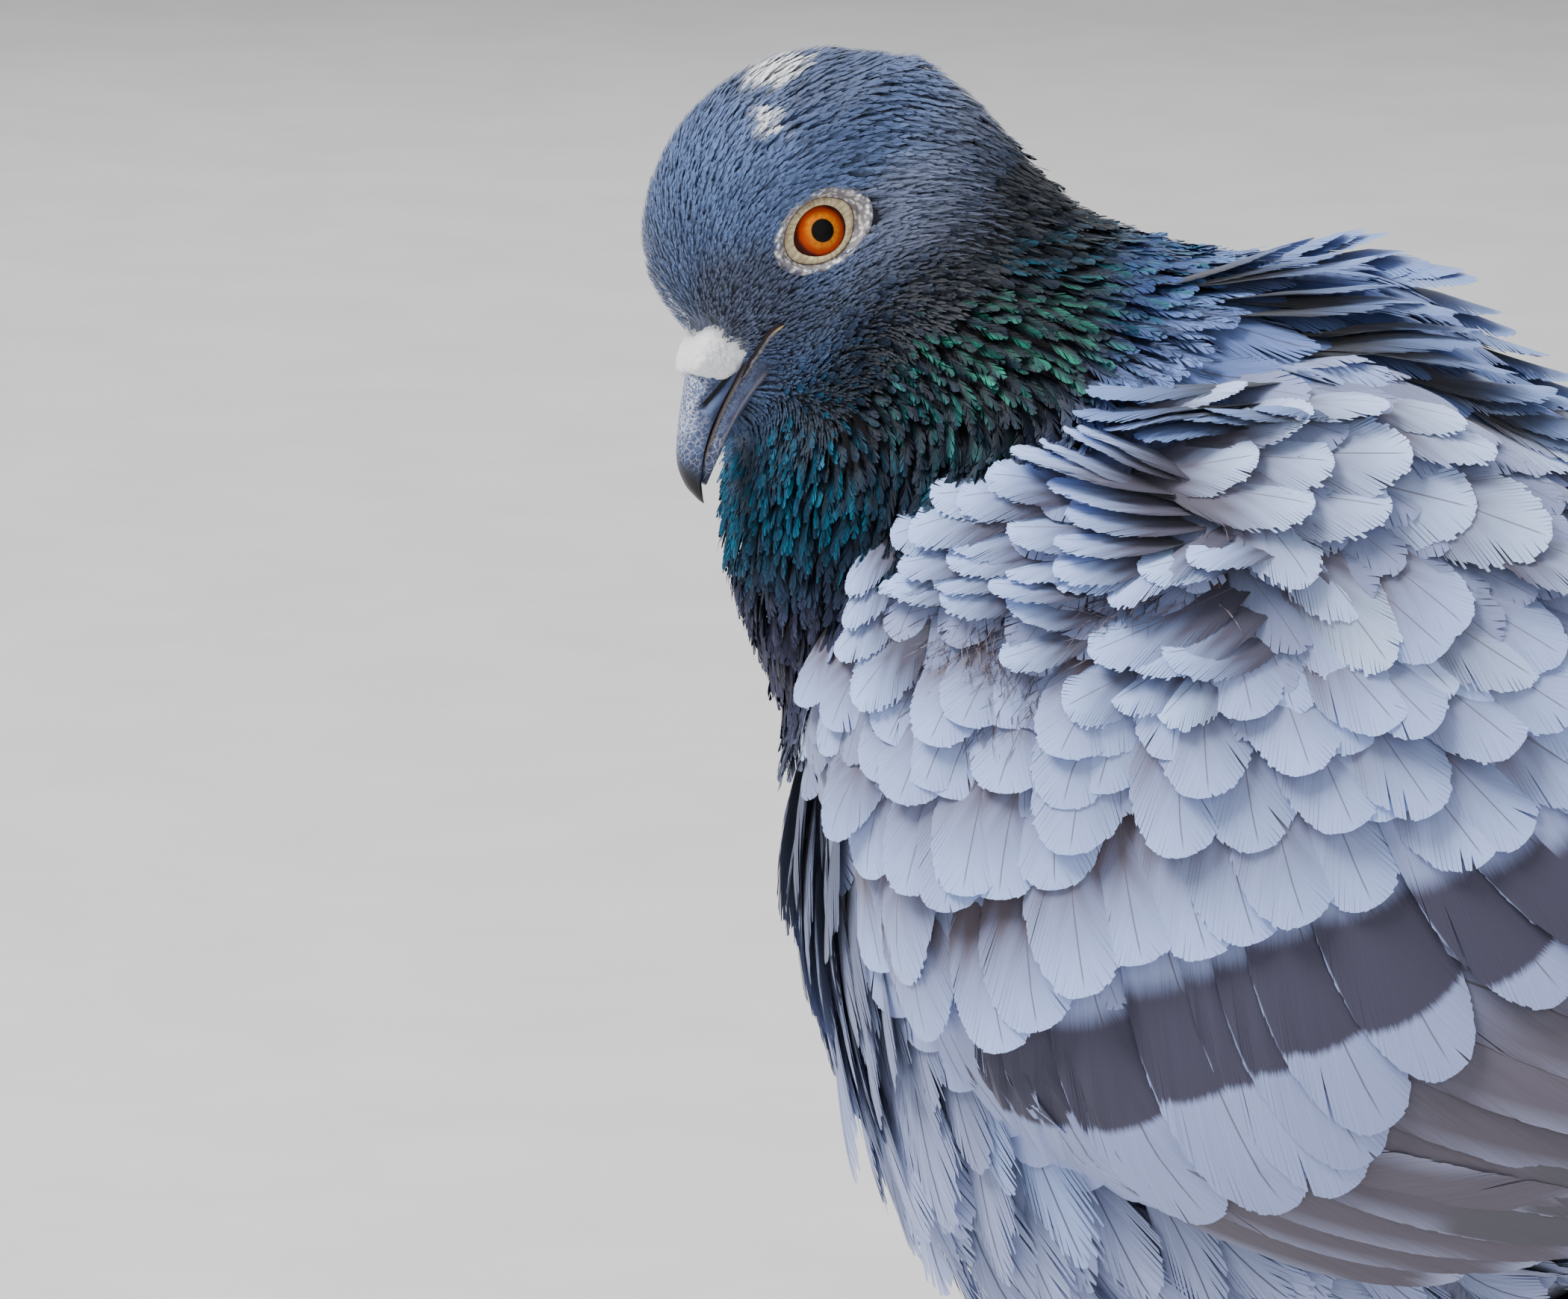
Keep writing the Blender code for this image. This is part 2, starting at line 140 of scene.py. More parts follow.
def mesh_object(name, points, faces):
    mesh = bpy.data.meshes.new(name)
    points, faces = np.asarray(points, np.float32), np.asarray(faces, np.int32)
    mesh.vertices.add(len(points))
    mesh.vertices.foreach_set("co", points.ravel())
    mesh.loops.add(faces.size)
    mesh.loops.foreach_set("vertex_index", faces.ravel())
    mesh.polygons.add(len(faces))
    mesh.polygons.foreach_set("loop_start", np.arange(0, faces.size, faces.shape[1], dtype=np.int32))
    mesh.update(calc_edges=True)
    mesh.shade_smooth()
    return placed(name, mesh)


def shaped(obj, *modifiers):
    """Applies modifiers given as (type, settings) to the object's mesh."""
    for kind, settings in modifiers:
        modifier = obj.modifiers.new(kind.lower(), kind)
        for key, value in settings.items():
            setattr(modifier, key, value)
    graph = bpy.context.evaluated_depsgraph_get()
    mesh = bpy.data.meshes.new_from_object(obj.evaluated_get(graph))
    obj.modifiers.clear()
    obj.data = mesh
    mesh.shade_smooth()
    return obj


def column(items, key, each=1, kind=np.float32):
    """One property of all of a mesh's points or corners, each with this many numbers."""
    values = np.empty(len(items) * each, kind)
    items.foreach_get(key, values)
    return values


def arrays(obj):
    """(points, corner indices of each quad, vertex normals) of an all-quad mesh."""
    mesh = obj.data
    points, normals = (column(mesh.vertices, key, 3).reshape(-1, 3).astype(float) for key in ("co", "normal"))
    return points, column(mesh.loops, "vertex_index", kind=np.int32).reshape(-1, 4), normals


def store(obj, key, values, kind="FLOAT", field="value"):
    """Stores values, one for each of the object's points, for its material to read."""
    data = obj.data.attributes.new(key, kind, "POINT").data
    data.foreach_set(field, np.ascontiguousarray(values, np.float32).ravel())


def store_tint(obj, colours):
    opaque = np.ones((*colours.shape[:-1], 1))
    store(obj, "tint", np.concatenate([colours, opaque], -1), "FLOAT_COLOR", "color")


solid_points, solid_faces, solid_owner = welded(OWNERS)
skin = shaped(
    mesh_object("skin", solid_points, solid_faces),
    ("REMESH", {"mode": "VOXEL", "voxel_size": OUTLINE_VOXEL}),
    ("SMOOTH", {"factor": 0.5, "iterations": OUTLINE_SMOOTHING}),
)
outline_points, outline_quads, outline_normals = arrays(skin)
# At the back of the crown and down the nape the plumage lies closer than the solids.
# above the eye line, how much closer
NAPE_TRIM = (
    (-62, 0), (-46, 1.6), (-34, 1.7), (-28, 2.1), (-18, 2.6), (-12, 2.4), (-2.4, 1.4), (2, 0.5), (5, 0.2),
    (8, 1.5), (13.6, 1.4), (16.3, 1.0), (19, 0),
)
crown_local = to_head(outline_points)
trim = np.interp(crown_local[:, 2], *np.transpose(NAPE_TRIM)) * smooth_step(4, 12, crown_local[:, 1])
outline_points -= outline_normals * (trim * np.sqrt(1 - outline_normals[:, 0] ** 2) * MM)[:, None]
outline_tree = BVHTree.FromPolygons(outline_points.tolist(), outline_quads.tolist())
solid_tree = BVHTree.FromPolygons([tuple(p) for p in solid_points], solid_faces)


def kinds_at(points):
    """Which part each point belongs to, by the nearest solid, without its side."""
    owners = [solid_owner[solid_tree.find_nearest(Vector(p))[2]] for p in points]
    return np.array([name.split("_")[0] for name in OWNERS])[owners]


point_kind = kinds_at(outline_points)
depth = np.array([FEATHER_DEPTH[kind] for kind in point_kind]) * MM
edges = np.concatenate([outline_quads[:, [k, (k + 1) % 4]] for k in range(4)])
for _ in range(DEPTH_BLENDING):
    total = np.bincount(edges[:, 0], depth[edges[:, 1]], len(depth))
    depth = (depth + total) / (1 + np.bincount(edges[:, 0], minlength=len(depth)))
# Where the form is thin the hide keeps to the middle of it.
for index, (point, normal) in enumerate(zip(outline_points, outline_normals)):
    start = Vector(point - normal * 0.05 * MM)
    thickness = outline_tree.ray_cast(start, Vector(-normal), THIN_REACH * depth[index])[3]
    if thickness is not None:
        depth[index] = min(depth[index], THIN_SHARE * thickness)
hide_points = outline_points - outline_normals * depth[:, None]
skin.data.vertices.foreach_set("co", hide_points.astype(np.float32).ravel())
skin.data.update()


def operator(kind, swapped=False):
    """A method that adds a Math node, with its values swapped for Python's reflected operators."""

    def method(wire, *other):
        values = (*other, wire) if swapped else (wire, *other)
        return wire.finish.add("ShaderNodeMath", {"operation": kind}, dict(enumerate(values)))

    return method


class Wire:
    """A value in a material. Python's operators on it add Math nodes."""

    def __init__(self, finish, socket):
        self.finish, self.socket = finish, socket

    __add__ = __radd__ = operator("ADD")
    __mul__ = __rmul__ = operator("MULTIPLY")
    __sub__, __rsub__ = operator("SUBTRACT"), operator("SUBTRACT", True)
    __abs__ = operator("ABSOLUTE")

    def step(self, low, high):
        """0 below low and 1 above high, or the reverse where low is the larger."""
        if low > high:
            return 1 - self.step(high, low)
        settings = {"interpolation_type": "SMOOTHSTEP"}
        return self.finish.add("ShaderNodeMapRange", settings, {0: self, 1: low, 2: high})


class Finish:
    """A material on a Principled shader. What is even all over is set on the shader's own sockets."""

    def __init__(self, name, **even):
        self.material = bpy.data.materials.new(name)
        self.material.use_nodes = True
        self.tree = self.material.node_tree
        self.shader = self.tree.nodes["Principled BSDF"]
        self.feed(**even)

    def connect(self, socket, value):
        if isinstance(value, Wire):
            self.tree.links.new(value.socket, socket)
        elif socket.type == "RGBA":
            socket.default_value = (*value, 1)
        else:
            socket.default_value = value

    def feed(self, **values):
        for key, value in values.items():
            self.connect(self.shader.inputs[key.replace("_", " ")], value)
        return self.material

    def add(self, kind, settings=None, values=None, output=0):
        """A node of this type, its settings set first, then its sockets' values or links."""
        node = self.tree.nodes.new(kind)
        for key, value in (settings or {}).items():
            setattr(node, key, value)
        for key, value in (values or {}).items():
            self.connect(node.inputs[key], value)
        return Wire(self, node.outputs[output])

    def read(self, attribute, output="Fac"):
        """What the mesh stores at its points: a number, or a Color or Vector."""
        return self.add("ShaderNodeAttribute", {"attribute_name": attribute}, output=output)

    def axis(self, vector, letter):
        return self.add("ShaderNodeSeparateXYZ", None, {0: vector}, letter)

    def flat(self, x, y):
        return self.add("ShaderNodeCombineXYZ", None, {0: x, 1: y})

    def mix(self, share, first, second, how="MIX"):
        settings = {"data_type": "RGBA", "blend_type": how}
        return self.add("ShaderNodeMix", settings, {0: share, 6: first, 7: second}, 2)

    def layers(self, colour, *coats):
        """A colour with others laid over it, each by its own share."""
        for share, coat in coats:
            colour = self.mix(share, colour, coat)
        return colour

    def texture(self, kind, settings, values, where, stretch):
        """A texture over the surface's own place, or over where."""
        if where is None:
            where = self.add("ShaderNodeTexCoord", output="Object")
        if stretch is not None:
            where = self.add("ShaderNodeMapping", None, {"Vector": where, "Scale": stretch})
        return self.add(kind, settings, {"Vector": where, **values})

    def grain(self, scale, detail, where=None, stretch=None):
        """Noise from 0 to 1."""
        return self.texture("ShaderNodeTexNoise", None, {"Scale": scale, "Detail": detail}, where, stretch)

    def cells(self, scale, where=None, stretch=None, feature="F1"):
        return self.texture("ShaderNodeTexVoronoi", {"feature": feature}, {"Scale": scale}, where, stretch)

    def bump(self, height, distance, strength=1.0):
        values = {"Height": height, "Distance": distance * MM, "Strength": strength}
        return self.add("ShaderNodeBump", None, values)


def paint(red, green, blue):
    """A screen colour of 0 to 255 as the light that it stands for."""
    return tuple(((c / 255 + 0.055) / 1.055) ** 2.4 if c > 10 else c / 3295 for c in (red, green, blue))


# The markings, which hide and feathers share. The darker slate on the crown and back of the head is painted
# shade.
SLATE, CROWN_SHADE, LORES, EAR = paint(92, 116, 164), paint(58, 78, 120), paint(88, 100, 130), paint(102, 112, 142)
CHEEK, THROAT, CROWN_WHITE = paint(78, 88, 114), paint(20, 66, 96), paint(244, 246, 250)
NAPE, CAPE, PURPLE, NECK_DARK = paint(12, 20, 32), paint(42, 68, 128), paint(62, 62, 90), paint(8, 20, 38)
BREAST, BELLY, BACK = paint(110, 116, 140), paint(164, 176, 218), paint(100, 122, 178)
RUMP, WING = paint(176, 186, 212), paint(168, 190, 244)
# where the colours of head and neck end: height over the breast, and the way across the edge (behind, up)
HEAD_EDGE, CAPE_EDGE = (166.0, (-0.73, 0.68)), (122.0, (-0.76, 0.65))


def beyond(points, edge):
    """How far points lie on the head's side of a plane across the bird, in millimetres."""
    level, (back, up) = edge
    behind, height = to_body(points)
    return back * behind + up * (height - level)


def layered(colour, *coats):
    """A colour with others laid over it, each by its own share at every place."""
    for share, coat in coats:
        share = np.asarray(share)[..., None]
        colour = np.asarray(colour, float) * (1 - share) + np.asarray(coat, float) * share
    return colour


def patch(points, centre, reach):
    """1 within a soft blob round a place, in the units of points."""
    return smooth_step(1.25, 0.75, np.linalg.norm((points - centre) / reach, axis=1))


def on_left(local):
    """Places in the head's frame, with those of its right side mirrored to the left."""
    return abs(local) * (1, 0, 0) + local * (0, 1, 1)


def colours_at(points, kinds):
    local = on_left(to_head(points))
    x, y, z = local.T
    behind, height = to_body(points)
    from_cape = beyond(points, CAPE_EDGE)
    upper = smooth_step(-6, 10, height - (150 - 0.35 * (behind - 60))) * smooth_step(20, 40, behind)
    body = layered(
        BREAST, (smooth_step(112, 84, height), BELLY), (upper, BACK),
        (smooth_step(100, 130, behind) * upper, RUMP), (kinds == "wing", WING),
    )
    neck = layered(
        NECK_DARK,
        (smooth_step(5, 25, behind) * smooth_step(170, 182, height), NAPE),
        (smooth_step(14, -8, behind) * smooth_step(130, 146, height) * 0.7, THROAT),
        (smooth_step(148, 128, height) * smooth_step(30, 0, behind) * 0.8, PURPLE),
        (smooth_step(36, 48, behind) * smooth_step(14, 4, from_cape), CAPE),
    )
    ragged = local + mottle(points, 1.6, 8)[:, None] * 0.8
    face = layered(
        SLATE,
        # painted shade: the top and back of the head darker than the face
        (smooth_step(0, 15, y) * smooth_step(-4, 6, z), CROWN_SHADE),
        (patch(local, (8, -10, 2), (6, 8, 7)), LORES),
        (smooth_step(1, -8, z) * smooth_step(-16, -6, y) * 0.9, CHEEK),
        (patch(local, (13, 9, -8), (6, 7, 6.5)) * 0.9, EAR),
        (patch(ragged, (4.6, 15.0, 15), (3.8, 4.4, 5)) * 0.97, CROWN_WHITE),
        (patch(ragged, (10.6, 7.2, 12.4), (2.4, 1.5, 3)) * 0.85, CROWN_WHITE),
    )
    neckness = smooth_step(-7, 1, from_cape) * (kinds != "wing")
    return layered(body, (neckness, neck), (smooth_step(-6, 4, beyond(points, HEAD_EDGE)), face))


store_tint(skin, colours_at(outline_points, point_kind))
finish = Finish("down", Roughness=0.9, Sheen_Weight=0.2)
fluff = finish.grain(900, 4, stretch=(1, 1, 0.4))
colour = finish.layers(
    finish.read("tint", "Color"), (0.45, paint(96, 86, 84)),
    (fluff.step(0.3, 0.75) * 0.7, (0.02, 0.02, 0.022)),
)
skin.data.materials.append(finish.feed(Base_Color=colour, Normal=finish.bump(fluff, 0.6)))
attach(skin, "root")
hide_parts(*FLESH)

# ------------------------------------------------------------
# The lie of the feathers. Each guide is a place and the way feathers point there; between guides the
# feathers turn smoothly. The guides of body and wing serve both sides.
# place: behind, height, out; way: behind, up, out
NECK_LIE = (
    (-7, 166, 14, -0.30, -1.0, 0.0), (-9, 152, 12, -0.42, -1.0, 0.0), (-8, 138, 8, -0.22, -1.0, 0.0),
    (-3, 124, 4, 0.02, -1.0, 0.0), (0, 160, 32, -0.28, -1.0, 0.1), (2, 140, 36, -0.12, -1.0, 0.0),
    (4, 124, 33, 0.0, -1.0, -0.1), (14, 172, 38, 0.35, -1.0, 0.1), (16, 158, 43, 0.25, -1.0, 0.0),
    (14, 144, 40, 0.05, -1.0, 0.0), (28, 182, 34, 0.75, -0.62, 0.1), (32, 168, 40, 0.62, -0.75, 0.1),
    (30, 196, 18, 0.85, -0.55, 0.0), (40, 186, 14, 0.9, -0.42, 0.0), (50, 180, 10, 0.95, -0.3, 0.0),
    (44, 176, 28, 0.85, -0.5, 0.1), (0, 160, -14, -0.2, -1.0, -0.1), (2, 140, -34, -0.1, -1.0, 0.0),
    (16, 165, -28, 0.3, -1.0, -0.1), (30, 180, -20, 0.8, -0.6, -0.1), (20, 150, -42, 0.3, -1.0, 0.0),
    (44, 176, -28, 0.85, -0.5, -0.1),
)
BODY_LIE = (
    (0, 110, 0, 0.1, -1.0, 0.0), (3, 92, 10, 0.25, -1.0, 0.0), (8, 74, 12, 0.45, -0.9, 0.0),
    (6, 112, 28, 0.15, -1.0, 0.1), (9, 92, 34, 0.1, -1.0, 0.05), (18, 70, 38, 0.15, -1.0, 0.0),
    (24, 52, 20, 0.6, -0.8, 0.0), (36, 56, 40, 0.4, -0.9, 0.0), (45, 42, 10, 1.0, -0.15, 0.0),
    (70, 38, 10, 1.0, 0.05, 0.0), (60, 50, 40, 0.75, -0.65, 0.0), (78, 44, 24, 0.45, -0.9, 0.0),
    (100, 48, 12, 0.95, 0.25, 0.0), (130, 68, 10, 0.9, 0.4, 0.0), (155, 88, 6, 0.9, 0.3, 0.0),
    (62, 176, 8, 1.0, 0.02, 0.12), (85, 163, 8, 0.93, -0.33, 0.08), (110, 148, 8, 0.92, -0.4, 0.0),
    (140, 128, 8, 0.93, -0.38, 0.0), (165, 112, 6, 0.93, -0.38, 0.0),
)
WING_LIE = (
    (10, 138, 40, -0.5, -0.9, 0.0), (14, 126, 44, -0.5, -0.85, 0.0), (20, 117, 47, -0.25, -0.95, 0.0),
    (7, 116, 32, -0.1, -1.0, 0.0), (9, 104, 36, 0.1, -1.0, 0.0), (17, 102, 45, 0.22, -0.98, 0.0),
    (30, 120, 51, 0.08, -1.0, 0.0), (40, 116, 53, 0.35, -0.93, 0.0), (46, 100, 54, 0.32, -0.95, 0.0),
    (29, 88, 50, 0.35, -0.93, 0.0), (53, 113, 54, 0.4, -0.92, 0.0), (72, 115, 52, 0.5, -0.86, 0.0),
    (78, 138, 45, 0.76, -0.65, 0.0), (86, 152, 36, 0.95, -0.3, 0.0), (22, 152, 42, -0.85, -0.5, 0.0),
    (34, 158, 42, -0.95, -0.25, 0.1), (44, 150, 48, -0.8, -0.55, 0.1), (40, 136, 50, -0.6, -0.8, 0.0),
    (58, 132, 52, 0.15, -0.98, 0.0), (60, 150, 46, 0.72, -0.62, 0.1), (58, 164, 38, 0.95, -0.2, 0.1),
    (45, 84, 53, 0.62, -0.78, 0.0), (62, 78, 54, 0.7, -0.7, 0.0), (80, 92, 54, 0.76, -0.65, 0.0),
    (96, 104, 48, 0.8, -0.6, 0.0), (96, 84, 50, 0.88, -0.47, 0.0), (100, 130, 40, 0.88, -0.45, 0.0),
    (125, 112, 38, 0.93, -0.36, 0.0), (125, 84, 40, 0.95, -0.2, 0.0), (155, 98, 26, 0.94, -0.33, 0.0),
    (182, 100, 18, 0.94, -0.33, 0.0),
)
# On the head they run from the root of the bill round to the neck. The guides stand on rings round the
# head's long axis, given by how far back they are and their radius.
HEAD_RINGS = ((-12, 11), (-5, 13), (3, 15), (11, 16), (19, 13))
BILL_ROOT, NECK_ROOT, NECK_PULL = np.array((0.0, -19.0, -5.0)), np.array((0.0, 14.0, -24.0)), 1.4
GUIDE_REACH = 7.0

guide_places, guide_ways = [], []
for table, sides in ((NECK_LIE, (1,)), (BODY_LIE, (1, -1)), (WING_LIE, (1, -1))):
    for behind, height, out, back, up, outwards in table:
        for side in sides:
            guide_places.append(body_place(behind, height, out * side))
            guide_ways.append((outwards * side, back, up))
for back, radius in HEAD_RINGS:
    for angle in range(-60, 241, 30):
        turn = math.radians(angle)
        place = np.array([radius * math.cos(turn), back, radius * math.sin(turn)])
        away, towards = (way / np.linalg.norm(way) ** 3 for way in (place - BILL_ROOT, NECK_ROOT - place))
        guide_places.append(from_head(place))
        guide_ways.append(HEAD_AXES @ unit(away + towards * NECK_PULL))
guide_places, guide_ways = np.array(guide_places), unit(np.array(guide_ways, float))


def flat_on(vectors, normals):
    return unit(vectors - normals * (vectors * normals).sum(-1, keepdims=True))


def lie_at(points, normals):
    """The way feathers point at places on the outline."""
    gaps = ((points[:, None] - guide_places[None]) ** 2).sum(-1) / MM**2
    weights = 1 / (gaps + GUIDE_REACH**2) ** 2
    return flat_on(weights @ guide_ways, normals)


def on_outline(points):
    """(nearest points of the plumage's outline, its normals there)"""
    found, quads = np.empty_like(points), np.empty(len(points), int)
    for k, point in enumerate(points):
        found[k], _, quads[k], _ = outline_tree.find_nearest(Vector(point))
    corners = outline_quads[quads]
    nearness = 1 / (((outline_points[corners] - found[:, None]) ** 2).sum(-1) + (0.3 * MM) ** 2)
    return found, unit((outline_normals[corners] * nearness[..., None]).sum(1))


def laid(roots, headings, lengths, steps, pull=0.5):
    """Walks from each root over the outline; returns its places, normals and ways, each steps + 1 deep."""
    here, up = on_outline(roots)
    ahead = flat_on(headings, up)
    walk = [(here, up, ahead)]
    for _ in range(steps):
        here, up = on_outline(here + ahead * (lengths / steps)[:, None])
        ahead = flat_on(ahead * (1 - pull) + lie_at(here, up) * pull, up)
        walk.append((here, up, ahead))
    return tuple(np.stack(layer, 1) for layer in zip(*walk))


quad_corners = outline_points[outline_quads]
quad_middle = quad_corners.mean(1)
diagonals = quad_corners[:, 2] - quad_corners[:, 0], quad_corners[:, 3] - quad_corners[:, 1]
quad_area = np.linalg.norm(np.cross(*diagonals), axis=1) / 2
quad_kind = kinds_at(quad_middle)
# places tried for each that the area could hold
CANDIDATES = 3.2


def scattered(where, gap, seed):
    """Roots over the quads chosen by where, no nearer to each other than gap(points), in millimetres."""
    draw = np.random.default_rng(seed)
    chosen = np.flatnonzero(where)
    least = gap(quad_middle[chosen]) * MM
    share = quad_area[chosen] / least**2
    count = int(share.sum() * CANDIDATES)
    quads = draw.choice(chosen, count, p=share / share.sum())
    a, b = draw.random((2, count, 1))
    corners = quad_corners[quads]
    front = corners[:, 0] * (1 - a) + corners[:, 1] * a
    rear = corners[:, 3] * (1 - a) + corners[:, 2] * a
    places = front * (1 - b) + rear * b
    gaps = gap(places) * MM
    cells = np.floor(places / gaps.max()).astype(int)
    near = [(i, j, k) for i in (-1, 0, 1) for j in (-1, 0, 1) for k in (-1, 0, 1)]
    taken, kept = {}, []
    for index, ((x, y, z), (i, j, k)) in enumerate(zip(places.tolist(), cells.tolist())):
        reach = gaps[index] ** 2
        around = (spot for di, dj, dk in near for spot in taken.get((i + di, j + dj, k + dk), ()))
        if not any((x - ox) ** 2 + (y - oy) ** 2 + (z - oz) ** 2 < reach for ox, oy, oz in around):
            taken.setdefault((i, j, k), []).append((x, y, z))
            kept.append(index)
    return places[kept]


# A vane is a shaft with a row of barbs on each side, drawn once for each kind of feather: how far along
# (0 root, 1 tip) and across (1 is the widest place) each corner lies, and the strips between the barbs.
# The outermost corners of neighbouring strips are separate, so that a vane can fray and split.
VANE_BASE = 0.1


def vane_pattern(barbs, joints, slender, fullness, bluntness, barb_slant=1.1):
    """slender is length over half width; a fuller vane is widest nearer its tip, and a lower bluntness
    squares its ends. barb_slant is how far the barbs lean towards the tip."""
    edge = np.linspace(VANE_BASE, 1, 400)
    width = np.sin(np.pi * edge**fullness) ** bluntness
    width[-1] = 0
    run = np.concatenate([[0], np.hypot(np.diff(edge) * slender, np.diff(width)).cumsum()])
    tip = np.interp(np.linspace(0, run[-1], barbs + 1), run, edge)
    reach = np.interp(tip, edge, width)
    shaft = np.minimum(tip - barb_slant / slender * reach, tip - 0.03)
    along, across, barb = list(shaft), [0.0] * (barbs + 1), list(shaft)
    loose, faces = [], []
    for side in (1, -1):
        rows = [list(range(barbs + 1))]
        for joint in range(1, joints):
            share = joint / joints
            rows.append(list(range(len(along), len(along) + barbs + 1)))
            along += list(shaft + (tip - shaft) * share)
            across += list(side * reach * share)
            barb += list(shaft)
        for k in range(barbs):
            start = len(along)
            for end in (0, 1):
                along.append(tip[k + end])
                across.append(side * reach[k + end])
                barb.append(shaft[k + end])
                # corner, the strip's other outer corner, the corner it grows from, its strip, its gap
                loose.append((start + end, start + 1 - end, rows[-1][k + end], k, k + end, side))
            for inner, outer in zip(rows, rows[1:]):
                faces.append((inner[k], inner[k + 1], outer[k + 1], outer[k])[::side])
            faces.append((rows[-1][k], rows[-1][k + 1], start + 1, start)[::side])
    parts = {"along": along, "across": across, "barb": barb, "loose": loose, "faces": faces, "barbs": barbs}
    return {key: np.array(values) for key, values in parts.items()}


def unwrapped(roots, centre, axis):
    """Places from 0 to 1 on an unwrap of the hide round an axis: the turn round it, and the way along it."""
    axis = unit(np.array(axis, float))
    side = unit(np.cross(axis, (0.02, 0.1, 1.0) if abs(axis[2]) < 0.8 else (1.0, 0.1, 0.02)))
    arms = unit(roots - centre)
    turn = np.arctan2(arms @ side, arms @ np.cross(side, axis)) / (2 * math.pi) + 0.5
    bow = np.arccos(np.clip(arms @ axis, -1, 1)) / math.pi
    both = np.stack([turn, bow], -1)
    low, high = both.min(0), both.max(0)
    return 0.01 + 0.98 * (both - low) / np.maximum(high - low, 1e-6)


# a feather's size on the unwrap, and the distance from a bar that a feather without one is given
PATCH, NO_BAR = 0.003, 9.0
# how wide gaps open between torn barbs and at most between others, and how uneven the barbs' ends are
TORN_OPEN, MOST_OPEN, UNEVEN = (0.35, 0.9), 0.3, 0.02
# how a vane's height curves from its root and towards its tip
ROOT_CURVE, TIP_CURVE = 1.6, 1.4


def feathers(
    name, walk, pattern, half, sink, rise, tint, wrap, seed, fray, split,
    cup=0.25, roll=0.0, stagger=0.12, sway=0.0, bar=None,
):
    """One mesh of many vanes, half of half width. walk comes from laid() or drawn(). sink is how far each
    root lies under the outline and rise how far its tip stands over it. tint(along, across) gives each
    corner's colour. wrap is the middle and axis of the unwrap. fray shortens barbs and split parts them,
    cup and roll bend and turn the vane, stagger lifts it, sway bends it aside, and bar tells each corner's
    distance from the middle of its dark bar."""
    draw = np.random.default_rng(seed)
    places, ups, aheads = walk
    count, depth_of_walk = places.shape[:2]
    corners, barbs = len(pattern["along"]), pattern["barbs"]
    along = np.repeat(pattern["along"][None], count, 0)
    across = np.repeat(pattern["across"][None], count, 0)
    own, partner, base, strip, gap, side = pattern["loose"].T
    sides = (side < 0).astype(int)
    opening = draw.random((count, 2, barbs + 1)) * 1.6 * fray
    torn = draw.random((count, 2, barbs + 1)) < split
    opening = np.where(torn, draw.uniform(*TORN_OPEN, opening.shape), np.minimum(opening, MOST_OPEN))
    short = 1 - draw.random((count, 2, barbs)) * fray
    ease = opening[:, sides, gap] * 0.5
    cut = short[:, sides, strip] + draw.normal(size=(count, len(own))) * UNEVEN
    for values in (along, across):
        eased = values[:, own] + (values[:, partner] - values[:, own]) * ease
        values[:, own] = values[:, base] + (eased - values[:, base]) * cut
    place = np.clip(along, 0, 1) * (depth_of_walk - 1)
    lower = np.minimum(place.astype(int), depth_of_walk - 2)
    share = (place - lower)[..., None]
    rows = np.arange(count)[:, None]

    def read(layer):
        return layer[rows, lower] * (1 - share) + layer[rows, lower + 1] * share

    spot, up, ahead = read(places), unit(read(ups)), unit(read(aheads))
    each = (half, sink, rise, roll, sway)
    half, sink, rise, roll, sway = (np.broadcast_to(v, count)[:, None] for v in each)
    outward = np.clip(along, 0, 1)
    height = -sink * (1 - outward) ** ROOT_CURVE + rise * outward**TIP_CURVE
    height = height - cup * half * across**2 + np.sin(roll) * across * half
    height = height + draw.normal(size=(count, 1)) * stagger * MM
    aside = across * half * np.cos(roll) + sway * along**2
    points = spot + np.cross(up, ahead) * aside[..., None] + up * height[..., None]
    faces = (pattern["faces"][None] + (np.arange(count) * corners)[:, None, None]).reshape(-1, 4)
    piece = mesh_object(name, points.reshape(-1, 3), faces)
    store_tint(piece, tint(along, across))
    for key, values in (
        ("along", along), ("across", across), ("barb", pattern["barb"] + draw.random((count, 1))),
        ("bar", np.full(along.shape, NO_BAR) if bar is None else bar),
    ):
        store(piece, key, values)
    tuft = np.stack([across * 0.5, along - 0.5], -1) * PATCH
    chart = (unwrapped(places[:, 0], *wrap)[:, None] + tuft).reshape(-1, 2)[faces.ravel()]
    piece.data.uv_layers.new(name="OFBake").data.foreach_set("uv", chart.astype(np.float32).ravel())
    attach(piece, "root")
    return piece


def blend_tints(*stops):
    """A tint function from (along, colours) stops; colours are one for all or one for each feather."""
    stops = [(low, np.asarray(tones, float)) for low, tones in stops]
    stops = [(low, tones[:, None] if tones.ndim == 2 else tones) for low, tones in stops]

    def tint(along, across):
        found = np.broadcast_to(stops[0][1], (*along.shape, 3))
        for (low, first), (high, second) in zip(stops, stops[1:]):
            both = layered(first, (smooth_step(low, high, along), second))
            found = np.where((along >= low)[..., None], both, found)
        return found

    return tint


def shaded(colour, *stops):
    """A tint function from (along, brightness) stops for colours of one kind."""
    return blend_tints(*((along, colour * brightness) for along, brightness in stops))


